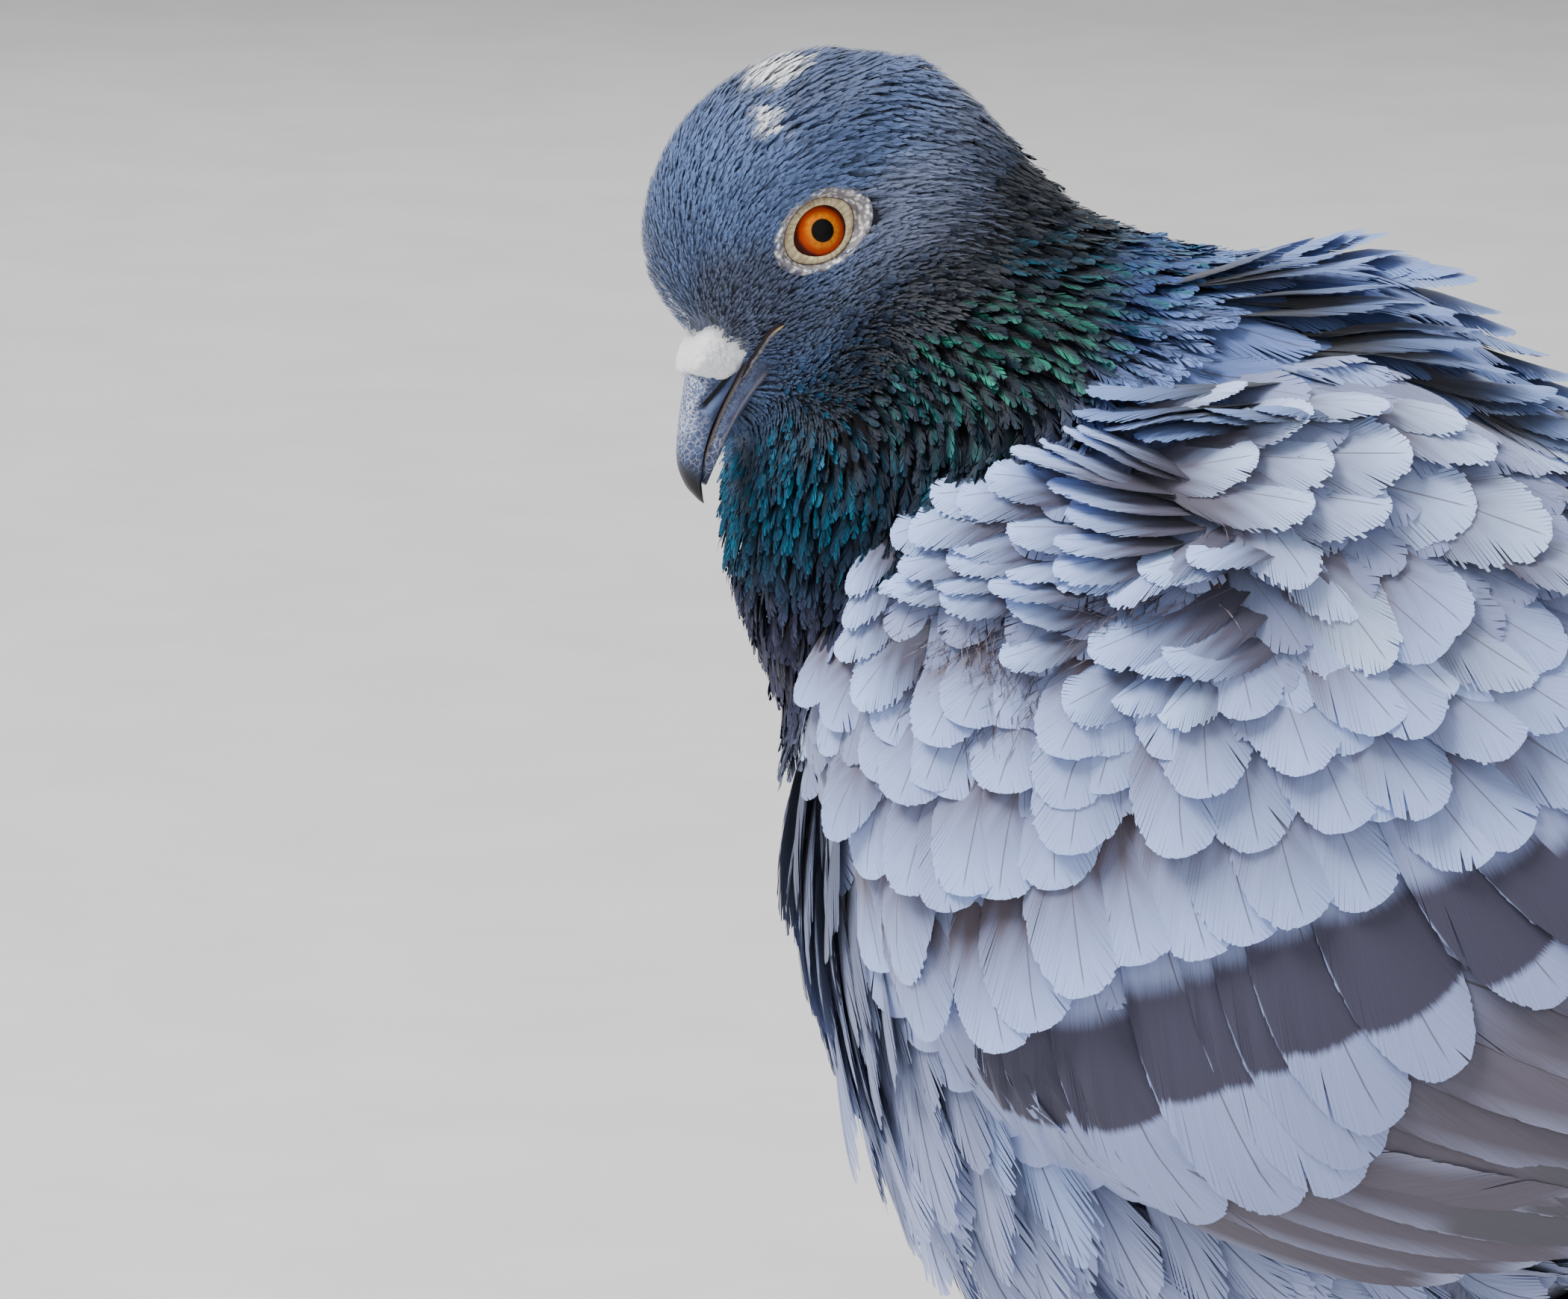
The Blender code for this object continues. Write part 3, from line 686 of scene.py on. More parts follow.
def plumage(name, barbs, depth, shaft, shaft_share, streak, bar=None, **even):
    """The finish of a vane: its tint, this many fine barbs, streaked and raised, a shaft over this share of
    the width, and a bar of this colour where the feather carries one."""
    finish = Finish(name, **even)
    along, across, barb = (finish.read(key) for key in ("along", "across", "barb"))
    width = abs(across)
    strands = finish.grain(1.0, 2.0, finish.flat(barb * barbs, across * 1.5))
    ends = {0: strands, 1: 0.3, 2: 0.7, 3: 1 - streak, 4: 1 + streak * 0.6}
    shade = finish.add("ShaderNodeMapRange", None, ends)
    base = finish.mix(1.0, finish.read("tint", "Color"), shade, "MULTIPLY")
    shaft_mask = width.step(shaft_share, shaft_share * 0.35) * along.step(0.99, 0.9)
    base = finish.mix(shaft_mask * 0.8, base, shaft)
    if bar is not None:
        fuzz = finish.grain(1.0, 2.0, finish.flat(barb * 60, across * 3))
        place = finish.read("bar") + (fuzz - 0.5) * 0.2
        barred = place.step(-1.12, -0.92) * place.step(1.35, 0.8) * width.step(0.995, 0.955)
        base = finish.mix(barred, base, bar)
    return finish.feed(Base_Color=base, Normal=finish.bump(strands, depth))


def turned(headings, normals, angles):
    aside = np.cross(normals, headings)
    return headings * np.cos(angles)[:, None] + aside * np.sin(angles)[:, None]


def planted(where, gap, spread, seed):
    """(roots, headings, kinds, random source) over the chosen quads, the headings spread by these radians."""
    draw = np.random.default_rng(seed + 1000)
    roots = scattered(where, gap if callable(gap) else lambda points: np.full(len(points), gap), seed)
    _, normals = on_outline(roots)
    headings = turned(lie_at(roots, normals), normals, draw.normal(size=len(roots)) * spread)
    return roots, headings, kinds_at(roots), draw


def varied(colours, draw, amount, count=None):
    """Colours made a little lighter or darker at random, or that many from one colour."""
    return np.clip(np.asarray(colours) * (1 + draw.normal(size=(count or len(colours), 1)) * amount), 0, 1)


def out_from(roots, headings, length):
    """The places that feathers reach from their roots."""
    return roots + headings * length[:, None]


# ------------------------------------------------------------
# Head feathers. Short, hair-fine and close, like suede, in slate blue with darker flecks; they lie back from
# the bill and fan out behind the eye as long loose ear coverts. Round the eye and the bill they stop.
# cosine and sine of the slope of the bare skin round the eye, and how far out it begins
EYE_SLOPE_COS, EYE_SLOPE_SIN, CROWN_HALF = 0.961, 0.276, 7.5
HEAD_WRAP = from_head((0, 5, 0)), HEAD_AXES[:, 1]


def head_gap(points):
    return 0.33 + 0.27 * smooth_step(-2, 16, to_head(points)[:, 1])


def clear_of_eye(points, long_reach, high_reach):
    """True for points outside the bare skin round each eye."""
    x, y, z = to_head(points).T
    fore, top = y * EYE_SLOPE_COS - z * EYE_SLOPE_SIN, z * EYE_SLOPE_COS + y * EYE_SLOPE_SIN
    ragged = 1 + 0.04 * mottle(points, 0.9, 24)
    return (np.hypot(fore / long_reach, top / high_reach) > ragged) | (abs(x) < CROWN_HALF)


head_place = to_head(quad_middle)
under_jaw = (quad_kind == "neck") & (beyond(quad_middle, HEAD_EDGE) > -8)
under_bill = (quad_kind == "bill") & (head_place[:, 1] > -24) & (head_place[:, 2] < -6.8)
on_head = ((quad_kind == "head") & clear_of_eye(quad_middle, 5.8, 4.1)) | under_jaw | under_bill
roots, headings, kinds, draw = planted(on_head, head_gap, 0.14, 11)
size = 1 + smooth_step(-11, 10, to_head(roots)[:, 1])
length = 2.1 * MM * size * draw.uniform(0.75, 1.3, len(roots))
kept = clear_of_eye(out_from(roots, headings, length), 6.0, 4.3)
roots, headings, kinds, size, length = (each[kept] for each in (roots, headings, kinds, size, length))
colour = varied(colours_at(out_from(roots, headings, length * 0.8), kinds), draw, 0.1)
fleck = (draw.random(len(roots)) < 0.09) * 0.45 - mottle(roots, 2.6, 21) * 0.1
colour = np.clip(colour * (1 - fleck)[:, None], 0, 1)
head_coat = feathers(
    "head_feathers", laid(roots, headings, length, 3),
    vane_pattern(barbs=3, joints=1, slender=6.0, fullness=1.15, bluntness=0.6),
    half=0.23 * MM * size**0.7, sink=0.75 * MM, rise=0.2 * MM * size * draw.uniform(0.3, 1.6, len(roots)),
    tint=shaded(colour, (0.0, 0.4), (0.3, 0.6), (0.75, 1), (1.0, 1.1)), wrap=HEAD_WRAP, seed=31,
    fray=0.35, split=0.5, stagger=0.05,
)
head_finish = plumage(
    "slate_plumage", barbs=7, depth=0.04, shaft=paint(28, 32, 44), shaft_share=0.1, streak=0.1,
    Roughness=0.65, Sheen_Weight=0.1,
)
head_coat.data.materials.append(head_finish)

ear = patch(on_left(head_place), (13.5, 8, -7), (6, 7, 7))
roots, headings, kinds, draw = planted(on_head & (ear > 0.25), 0.62, 0.2, 12)
length = 6.0 * MM * draw.uniform(0.7, 1.25, len(roots))
colour = colours_at(out_from(roots, headings, length * 0.7), kinds)
colour = varied(layered(colour, (draw.random(len(roots)) * 0.7, EAR)), draw, 0.16)
ear_coat = feathers(
    "ear_coverts", laid(roots, headings, length, 4),
    vane_pattern(barbs=3, joints=1, slender=12.0, fullness=1.05, bluntness=0.6), half=0.24 * MM,
    sink=0.4 * MM, rise=0.7 * MM * draw.uniform(0.3, 1.4, len(roots)),
    tint=shaded(colour, (0.0, 0.5), (0.5, 0.85), (1.0, 1.2)), wrap=HEAD_WRAP, seed=32, fray=0.5,
    split=0.8, sway=draw.normal(size=len(roots)) * 0.4 * MM,
)
ear_coat.data.materials.append(head_finish)

# ------------------------------------------------------------
# Neck hackles. Narrow feathers with blunt split tips over near-black roots, the black partly painted shade
# between the feathers. Most are slate; some carry teal or green, the neck's iridescent colour painted in as
# fixed glints. They grow longer down to the ragged edge of the cape.
TEAL, GREEN = paint(8, 104, 132), paint(22, 128, 104)
# behind, height, reach behind, reach up, share of the feathers that carry a painted glint there
GREEN_GLINTS = ((30, 171, 13, 6, 0.75), (20, 164, 9, 7, 0.4), (44, 176, 10, 3.5, 0.4))
TEAL_GLINTS = ((-7, 154, 8, 14, 1.2), (2, 152, 9, 13, 0.5), (12, 156, 14, 14, 0.25), (38, 180, 12, 3, 0.4))


def neck_gap(points):
    return 0.74 + 0.44 * smooth_step(4, -26, beyond(points, HEAD_EDGE))


def blobs(points, table):
    """The sum of soft blobs on both sides of the bird, given by place, reach and strength."""
    behind, height = to_body(points)
    found = 0
    for back, up, back_reach, up_reach, strength in table:
        gap = np.hypot((behind - back) / back_reach, (height - up) / up_reach)
        found = found + smooth_step(1.3, 0.6, gap) * strength
    return found


roots, headings, kinds, draw = planted(quad_kind == "neck", neck_gap, 0.14, 13)
size = 0.6 + 0.65 * smooth_step(6, -32, beyond(roots, HEAD_EDGE))
length = 6.8 * MM * size * draw.uniform(0.8, 1.2, len(roots))
ends = out_from(roots, headings, length * 0.8)
colour = varied(colours_at(ends, kinds), draw, 0.2)
green, teal = blobs(ends, GREEN_GLINTS), blobs(ends, TEAL_GLINTS)
# painted glints: which feathers carry them and how strongly, fixed in the colour
lit = np.clip(np.maximum(green, teal), 0, 1) ** 0.8
lit = lit * draw.random(len(roots)) ** np.where(teal > 0.6, 0.9, 1.5)
glint_hue = layered(TEAL, (np.clip(green / np.maximum(green + teal, 1e-6), 0, 1), GREEN))
glint_hue = layered(colour, (lit, glint_hue * 1.3))
glint_edge = np.where(draw.random(len(roots)) < 0.5, 1.0, -1.0)
# the near-black root is partly painted shade between the feathers
dark, pale = colour * 0.25, layered(colour * 1.2, (0.07, paint(110, 130, 165)))


def hackle_tint(along, across):
    """Near-black at the root, partly painted shade, slate at the tip, and a painted glint mostly on one edge
    of each feather.
    """
    found = blend_tints((0.0, dark), (0.55, dark * 1.6), (0.84, colour), (1.0, pale))(along, across)
    share = smooth_step(-0.6, 0.6, across * glint_edge[:, None]) * smooth_step(0.45, 0.75, along)
    return layered(found, (share, glint_hue[:, None]))


hackles = feathers(
    "neck_hackles", laid(roots, headings, length, 4),
    vane_pattern(barbs=7, joints=1, slender=4.2, fullness=2.6, bluntness=0.27), half=0.82 * MM * size,
    sink=1.9 * MM, rise=0.5 * MM * draw.uniform(0.1, 1.8, len(roots)), tint=hackle_tint,
    wrap=(body_place(15, 150), (0, -0.6, 0.8)), seed=33, fray=0.25, split=0.5,
    roll=draw.normal(size=len(roots)) * 0.35, stagger=0.2,
)
hackle_finish = plumage(
    "shining_plumage", barbs=16, depth=0.08, shaft=paint(8, 10, 14), shaft_share=0.07, streak=0.62,
    Roughness=0.5, Metallic=0.2, Specular_IOR_Level=0.2,
)
hackles.data.materials.append(hackle_finish)

# ------------------------------------------------------------
# Body feathers. Broad soft vanes whose ends fray into strands, over breast, belly, back and thighs. Those
# of breast and belly are long and hang loose, dark slate in front with paler edges, the dark deepened by
# painted shade towards the roots and on the edge-on ones.
BODY_WRAP = body_place(80, 110), (0, 1, 0)
# where the wing lies over them: behind, height of its lower edge
WING_EDGE = (
    (11, 100), (15, 93), (20.5, 85), (25, 78), (33, 72.6), (40.6, 69), (48, 67), (56, 67.7), (70, 73),
    (80, 78),
)


def body_gap(points):
    return 4.6 - 1.9 * smooth_step(52, 38, to_body(points)[1])


roots, headings, kinds, draw = planted(np.isin(quad_kind, ("trunk", "thigh")), body_gap, 0.16, 14)
behind, height = to_body(roots)
thigh = kinds == "thigh"
front = smooth_step(60, 15, behind) * smooth_step(150, 125, height)
edge_on = front * smooth_step(80, 95, height)
length = np.where(thigh, 8.5, 15.5 + 8.0 * front) * MM * draw.uniform(0.85, 1.2, len(roots))
half = np.where(thigh, 2.8, 4.3 + 1.2 * front * (1 - edge_on)) * MM
ends = out_from(roots, headings, length * 0.8)
colour = varied(colours_at(ends, kinds), draw, 0.08)
lift = (0.5 + 1.5 * front) * MM * draw.uniform(0.1, 1.8, len(roots))
# Those of the belly hang free.
hang = smooth_step(60, 35, behind) * smooth_step(94, 80, height) * smooth_step(34, 50, height) * (1 - thigh)
lift = lift * (1 - 0.5 * edge_on) + hang * draw.uniform(1.0, 5.0, len(roots)) * MM
# Those that reach under the wing lie flat.
end_behind, end_height = to_body(ends)
under_wing = end_height > np.interp(end_behind, *np.transpose(WING_EDGE)) - 2
covered = under_wing & (abs(roots[:, 0]) > 24 * MM) & (behind > 8) & (behind < 84)
lift = np.where(covered, -1.8 * MM, lift)
lower = smooth_step(112, 98, height)
rim_share = (0.12 + 0.45 * edge_on * lower)[:, None]


def strand_tint(along, across):
    """Painted shade at the root and inside, deepest on the edge-on front ones; paler towards the tip, and
    palest at the edges of the front ones.
    """
    # painted shade: darker on the edge-on front feathers and towards every root
    shade = colour * (1 - (0.42 - 0.2 * lower) * edge_on)[:, None]
    last = colour * 0.2 + shade * 0.88
    found = blend_tints((0.0, shade * 0.5), (0.5, shade * 0.78), (0.85, shade), (1.0, last))(along, across)
    rim = smooth_step(0.35, 0.95, abs(across)) * smooth_step(0.25, 0.5, along) * rim_share
    return layered(found, (rim, paint(142, 152, 194)))


roll = draw.normal(size=len(roots)) * 0.22 * (1 - 0.5 * edge_on)
roll = roll + edge_on * np.sign(roots[:, 0]) * 0.4 * (1 - covered)
body_coat = feathers(
    "body_feathers", laid(roots, headings, length, 5),
    vane_pattern(barbs=26, joints=2, slender=4.4, fullness=1.9, bluntness=0.58, barb_slant=4.0),
    half=half, sink=2.8 * MM, rise=lift, tint=strand_tint, wrap=BODY_WRAP, seed=34, fray=0.3, split=0.45,
    stagger=0.3, roll=roll, sway=draw.normal(size=len(roots)) * 1.6 * MM,
)
soft_finish = plumage(
    "soft_plumage", barbs=30, depth=0.09, shaft=paint(70, 70, 84), shaft_share=0.035, streak=0.2,
    Roughness=0.85, Sheen_Weight=0.12, Specular_IOR_Level=0.2,
)
body_coat.data.materials.append(soft_finish)

# ------------------------------------------------------------
# Wing coverts. Rows of rounded pale blue-grey feathers that overlap like tiles, each row over the roots of
# the next. Rows are given by the line that their tips follow, where the way they point is the wing's own.
# behind, height, feather length, half width
COVERT_ROWS = (
    ((15, 96, 24, 5.2), (22, 92, 25, 5.8), (29, 88, 26, 6.2), (37, 93, 26, 6.4), (47, 98, 26, 6.4),
     (59, 104, 26, 6.6), (74, 108, 26, 6.6), (92, 115, 26, 6.6), (108, 120, 26, 6.4)),
    ((9.5, 111, 20, 4.6), (18, 105, 22, 5.4), (26, 106, 23, 5.8), (38, 106, 24, 6.0), (53, 113, 24, 6.2),
     (73, 116, 24, 6.2), (92, 124, 24, 6.2), (104, 129, 24, 6.0)),
    ((7, 120, 15, 4.2), (15, 118, 18, 5.2), (28, 118.5, 20, 5.8), (43, 117, 21, 6.0), (56, 121, 22, 6.0),
     (76, 126, 22, 6.0), (94, 134, 22, 5.8)),
    ((5.5, 126, 13, 4.2), (14, 126, 15, 4.8), (28, 125, 16, 5.2), (44, 124, 18, 5.6), (58, 129, 19, 5.6),
     (74, 135, 20, 5.6), (88, 141, 20, 5.6)),
)


def spaced(line, pitch, draw, jitter):
    """Stops along a line, pitch(row) apart in millimetres, all columns interpolated."""
    line = np.array(line, float)
    run = np.concatenate([[0], np.hypot(*np.diff(line[:, :2], axis=0).T).cumsum()])
    at, found = 0.0, []
    while at <= run[-1]:
        row = [np.interp(at, run, values) for values in line.T]
        found.append(row)
        at += pitch(row)
    found = np.array(found)
    found[:, :2] += draw.normal(size=(len(found), 2)) * jitter
    return found


def on_side(behind, height, side):
    """The place on the outline straight in from the side, or the nearest where that misses."""
    places = []
    for back, up in zip(behind, height):
        hit = outline_tree.ray_cast(Vector(body_place(back, up, 90 * side)), Vector((-side, 0, 0)))[0]
        places.append(hit or outline_tree.find_nearest(Vector(body_place(back, up, 14 * side)))[0])
    return np.array(places)


def rooted(tips, lengths, headings=None, steps=5):
    """Walks back from tips, against headings or the wing's own lie; returns roots and the headings there."""

    def way(here, up):
        return lie_at(here, up) if headings is None else flat_on(headings, up)

    here, up = on_outline(tips)
    for _ in range(steps):
        here, up = on_outline(here - way(here, up) * (lengths / steps)[:, None])
    return here, way(here, up)


def both_sides(make):
    """Joins what make(side) gives for the left wing, 1, and the right, -1."""
    return [np.concatenate(pair) for pair in zip(make(1), make(-1))]


def covert_rows(side):
    draw = np.random.default_rng(41 + side)
    rows = np.concatenate([spaced(line, lambda row: row[3] * 1.12, draw, 1.15) for line in COVERT_ROWS])
    lengths = rows[:, 2] * MM * draw.uniform(0.92, 1.12, len(rows))
    roots, headings = rooted(on_side(rows[:, 0], rows[:, 1], side), lengths)
    return roots, headings, lengths, rows[:, 3] * MM, np.full(len(rows), -0.12 * side)


def wing_tints(colour, root):
    """Painted shade, brownish (root is its tone), where the row above would shade a feather; pale blue-grey
    where it shows, palest at its edge.
    """
    shade = np.array(root)
    shown = (shade * 0.45 + colour * 0.55) * 0.95
    return blend_tints(
        (0.0, shade * 0.35), (0.46, shade * 0.8), (0.66, shown), (0.9, colour), (1.0, colour * 1.12)
    )


# painted shade: the brownish tone a feather takes where the row above would shade it
WING_SHADE = paint(96, 84, 96)
roots, headings, lengths, halves, rolls = both_sides(covert_rows)
draw = np.random.default_rng(51)
_, ups = on_outline(roots)
headings = turned(headings, ups, draw.normal(size=len(roots)) * 0.13)
coverts = feathers(
    "wing_coverts", laid(roots, headings, lengths, 5, 0.3),
    vane_pattern(barbs=40, joints=2, slender=3.4, fullness=1.5, bluntness=0.36, barb_slant=1.8),
    half=halves, sink=2.6 * MM, rise=2.0 * MM * draw.uniform(0.4, 1.5, len(roots)),
    tint=wing_tints(varied(WING, draw, 0.05, len(roots)), WING_SHADE), wrap=BODY_WRAP, seed=35, fray=0.09,
    split=0.02, cup=0.22, roll=rolls + draw.normal(size=len(roots)) * 0.07, stagger=0.2,
)
wing_finish = plumage(
    "wing_plumage", barbs=70, depth=0.06, shaft=paint(96, 90, 98), shaft_share=0.02, streak=0.08,
    bar=paint(60, 58, 80), Roughness=0.72, Sheen_Weight=0.2,
)
coverts.data.materials.append(wing_finish)

# ------------------------------------------------------------
# Shoulder, scapulars and mantle. Ruffled feathers that part at the shoulder: those in front of it point
# forward, stacked like shelves with their lower edges out, and those behind it point back over the wing.
# Each row is given by its tips: behind, height, way in degrees (0 back, 90 up, 180 forward), length, half
# width, how far the vane is rolled out of the surface, lift of the tip, and pitch.
SHOULDER_ROWS = (
    ((36, 161.5, 157, 18, 4.2, 58, 1.0, 2.1), (31, 159.6, 163, 21, 4.4, 58, 1.0, 2.1),
     (27, 157.4, 170, 22, 4.6, 54, 1.0, 2.1)),
    ((33.5, 156.5, 170, 18, 4.2, 55, 1.0, 2.4), (35.6, 151, 183, 17, 4.4, 45, 1.0, 2.4)),
    ((26, 156.4, 172, 13, 4.0, 28, 1.2, 3.4), (21.7, 154.2, 178, 15, 4.6, 24, 1.2, 3.6),
     (17.6, 151.2, 186, 15, 4.8, 20, 1.2, 3.8), (14, 147.6, 194, 13, 4.4, 18, 1.2, 3.8)),
    ((23, 151, 180, 15, 4.8, 26, 1.3, 6), (30, 148.8, 184, 15, 4.8, 35, 1.3, 6),
     (40, 147.8, 190, 15, 4.6, 45, 1.3, 6)),
    ((15.6, 145.3, 190, 13, 4.2, 34, 1.3, 6.4), (27, 145.4, 192, 15, 4.4, 42, 1.3, 6.4),
     (36, 145.2, 196, 15, 4.6, 42, 1.3, 6.4)),
    ((13.6, 143.2, 188, 13, 4.0, 42, 1.3, 6.6), (31, 142.8, 190, 14, 4.2, 45, 1.3, 6.6)),
    ((14.8, 141.4, 186, 12, 4.0, 34, 1.4, 7), (25.3, 141.4, 192, 13, 4.2, 36, 1.4, 7),
     (34.6, 140.6, 200, 13, 4.2, 36, 1.4, 7)),
    ((34.4, 142.6, 206, 21, 5.2, 36, 1.8, 5.5), (43, 144.4, 206, 19, 5.2, 38, 1.8, 5.5),
     (52, 149.4, 194, 14, 5.0, 40, 1.6, 5.5)),
    ((39, 136.2, 208, 20, 5.6, 28, 1.8, 5.0), (45, 134.4, 204, 18, 5.4, 30, 1.8, 5.0),
     (53, 134.4, 200, 15, 5.2, 30, 1.8, 5.0)),
    ((35.6, 130.6, 206, 14, 5.2, 20, 1.6, 5.5), (43, 130.2, 214, 15, 5.4, 20, 1.6, 5.5),
     (52, 130, 226, 16, 5.4, 16, 1.6, 6)),
    ((28.6, 134.6, 212, 13, 3.8, 35, 1.2, 9), (23, 138, 205, 12, 4.0, 26, 1.2, 9)),
    ((9, 141.6, 226, 11, 4.2, 12, 1.3, 4.2), (8.8, 136, 226, 12, 4.8, 12, 1.3, 4.6),
     (8.6, 130.8, 228, 13, 5.2, 10, 1.3, 4.8), (13.2, 127.4, 228, 15, 5.4, 8, 1.3, 5)),
)
SCAPULAR_ROWS = (
    ((56, 165.5, 14, 17, 4.4, -32, 1.8, 8), (64, 164, 14, 17, 4.8, -26, 1.8, 9),
     (76, 163, 12, 19, 5.0, -22, 1.8, 9), (90, 160.5, 2, 21, 5.6, -14, 1.8, 9),
     (108, 152.5, -16, 22, 6.0, -10, 1.6, 9)),
    ((58, 158.4, 2, 16, 4.6, -24, 1.8, 9), (73, 158.8, 4, 20, 6.0, -18, 1.8, 9.5),
     (87, 156.5, -8, 22, 6.6, -14, 1.8, 10), (101, 150, -20, 24, 6.6, -10, 1.6, 10),
     (118, 142, -24, 24, 6.6, -8, 1.4, 10)),
    ((65, 153, -8, 18, 5.6, -18, 1.8, 9), (84, 151.6, -14, 24, 7.6, -12, 1.8, 10),
     (99, 143, -24, 24, 7.2, -10, 1.6, 10), (116, 133, -26, 24, 7.0, -8, 1.4, 10),
     (134, 124, -24, 24, 6.6, -6, 1.2, 10)),
    ((66, 146, -44, 20, 5.4, -10, 1.6, 7), (74, 138.6, -48, 22, 5.8, -8, 1.6, 7),
     (79, 133, -44, 24, 6.0, -8, 1.6, 8), (95, 130.6, -36, 24, 6.6, -8, 1.5, 9),
     (112, 124, -30, 24, 6.6, -6, 1.3, 10), (132, 114, -26, 24, 6.4, -6, 1.2, 10)),
)
MANTLE_ROWS = (
    ((36.5, 164.5, 192, 25, 6.0, 50, 1.0, 4), (35, 162, 195, 25, 6.2, 46, 1.0, 4),
     (43.5, 161, 204, 19, 5.6, 44, 1.0, 4), (57, 165, 196, 16, 5.4, 40, 1.0, 5)),
    ((66, 182, 36, 24, 6.0, -34, 4.0, 3.2), (72, 179, 34, 24, 6.2, -38, 4.4, 3.2),
     (78, 173, 26, 24, 6.2, -36, 3.6, 3.4)),
    ((83, 177, 32, 24, 6.2, -32, 5.0, 3.4), (89, 172, 26, 24, 6.2, -34, 4.6, 3.4),
     (92, 167, 18, 24, 6.0, -30, 3.2, 3.6)),
    ((98, 171, 20, 23, 6.4, -24, 4.4, 4.2), (104, 164, 10, 23, 6.4, -24, 3.4, 4.4),
     (110, 157, -2, 23, 6.2, -18, 2.4, 5)),
    ((113, 162, 4, 23, 6.4, -16, 3.2, 5), (120, 153, -8, 23, 6.4, -14, 2.4, 5.4),
     (127, 144, -18, 23, 6.2, -12, 1.8, 6)),
)


def in_rows(table):
    """What both_sides needs to lay the rows of a table that gives ways."""

    def make(side):
        draw = np.random.default_rng(81 + side)
        rows = np.concatenate([spaced(line, lambda row: row[7], draw, 0.35) for line in table])
        ways = np.radians(rows[:, 2] + draw.normal(size=len(rows)) * 4)
        headings = np.stack([np.zeros(len(rows)), np.cos(ways), np.sin(ways)], -1)
        lengths = rows[:, 3] * MM * draw.uniform(0.92, 1.08, len(rows))
        roots, headings = rooted(on_side(rows[:, 0], rows[:, 1], side), lengths, headings)
        rolls = np.radians(rows[:, 5] + draw.normal(size=len(rows)) * 5) * side
        return roots, headings, lengths, rows[:, 4] * MM, rolls, rows[:, 6] * MM

    return make


# the second colour of each is the painted shade where the row above covers a feather
for name, table, hue, shade_hue, seed in (
    ("shoulder_feathers", SHOULDER_ROWS, paint(170, 196, 252), paint(80, 78, 102), 44),
    ("scapulars", SCAPULAR_ROWS, paint(186, 208, 254), paint(94, 90, 110), 45),
    ("mantle_feathers", MANTLE_ROWS, paint(108, 136, 194), paint(22, 30, 52), 46),
):
    roots, headings, lengths, halves, rolls, lifts = both_sides(in_rows(table))
    draw = np.random.default_rng(seed)
    piece = feathers(
        name, laid(roots, headings, lengths, 5, 0.0),
        vane_pattern(barbs=44, joints=2, slender=3.6, fullness=1.4, bluntness=0.4, barb_slant=1.8),
        half=halves, sink=1.8 * MM, rise=lifts,
        tint=wing_tints(varied(hue, draw, 0.06, len(roots)), shade_hue), wrap=BODY_WRAP, seed=seed,
        fray=0.22, split=0.08, roll=rolls, stagger=0.4, sway=draw.normal(size=len(roots)) * MM,
    )
    piece.data.materials.append(wing_finish)

# Under them the same feathers lie flat, so that no hide shows between the rows.
# behind, height: the lower edge of these feathers, the wing's underside, and the line under the rows
LOWEST = ((0, 14, 34, 46, 60, 74, 94, 110, 130, 190), (98, 100, 104, 112, 118, 126, 133, 136, 129, 106))
UNDERSIDE = ((50, 64, 92, 120, 150, 184), (60, 62, 62, 68, 78, 92))
ROW_LINE = ((0, 14, 34, 46, 60, 74, 94, 120, 190), (120, 124, 126, 128, 132, 138, 142, 130, 100))
behind, height = to_body(quad_middle)
bare = (height > np.interp(behind, *LOWEST)) | (height < np.interp(behind, *UNDERSIDE))
roots, headings, _, draw = planted((quad_kind == "wing") & bare, 4.0, 0.16, 15)
behind, height = to_body(roots)
stand = np.where(height > np.interp(behind, *ROW_LINE), 0.2, -1.4) * MM
# painted shade: the wing's shade tone mixed in, and darker towards the root, for feathers under the rows
colour = varied(layered(paint(150, 166, 214), (0.25, WING_SHADE)), draw, 0.08, len(roots))
under_coat = feathers(
    "under_coverts", laid(roots, headings, 14 * MM * draw.uniform(0.85, 1.15, len(roots)), 4),
    vane_pattern(barbs=14, joints=2, slender=2.6, fullness=1.5, bluntness=0.42), half=4.4 * MM,
    sink=2.6 * MM, rise=stand, tint=shaded(colour, (0.0, 0.3), (0.5, 0.6), (1.0, 1)), wrap=BODY_WRAP,
    seed=36, fray=0.25, split=0.2, roll=draw.normal(size=len(roots)) * 0.1, stagger=0.2,
)
under_coat.data.materials.append(wing_finish)

# Brownish down shows where the shoulder feathers part.
# behind, height, reach behind, reach up, strength
DOWN_PATCHES = ((26, 135, 7.5, 6.0, 1), (46, 142, 7, 3.2, 1), (57, 155, 4, 3, 1))
fluffy = (quad_kind == "wing") & (blobs(quad_middle, DOWN_PATCHES) > 0.2)
roots, headings, _, draw = planted(fluffy, 0.62, 0.8, 16)
colour = varied(paint(118, 110, 124), draw, 0.2, len(roots))
down_tufts = feathers(
    "down_tufts", laid(roots, headings, 6.5 * MM * draw.uniform(0.5, 1.4, len(roots)), 4),
    vane_pattern(barbs=3, joints=1, slender=16.0, fullness=1.1, bluntness=0.6), half=0.13 * MM,
    sink=1.6 * MM, rise=1.1 * MM * draw.uniform(0.0, 1.6, len(roots)),
    tint=shaded(colour, (0.0, 0.5), (0.6, 1), (1.0, 1.3)), wrap=BODY_WRAP, seed=47, fray=0.6, split=1.0,
    roll=draw.normal(size=len(roots)) * 0.5, sway=draw.normal(size=len(roots)) * 2.2 * MM,
)
down_tufts.data.materials.append(soft_finish)

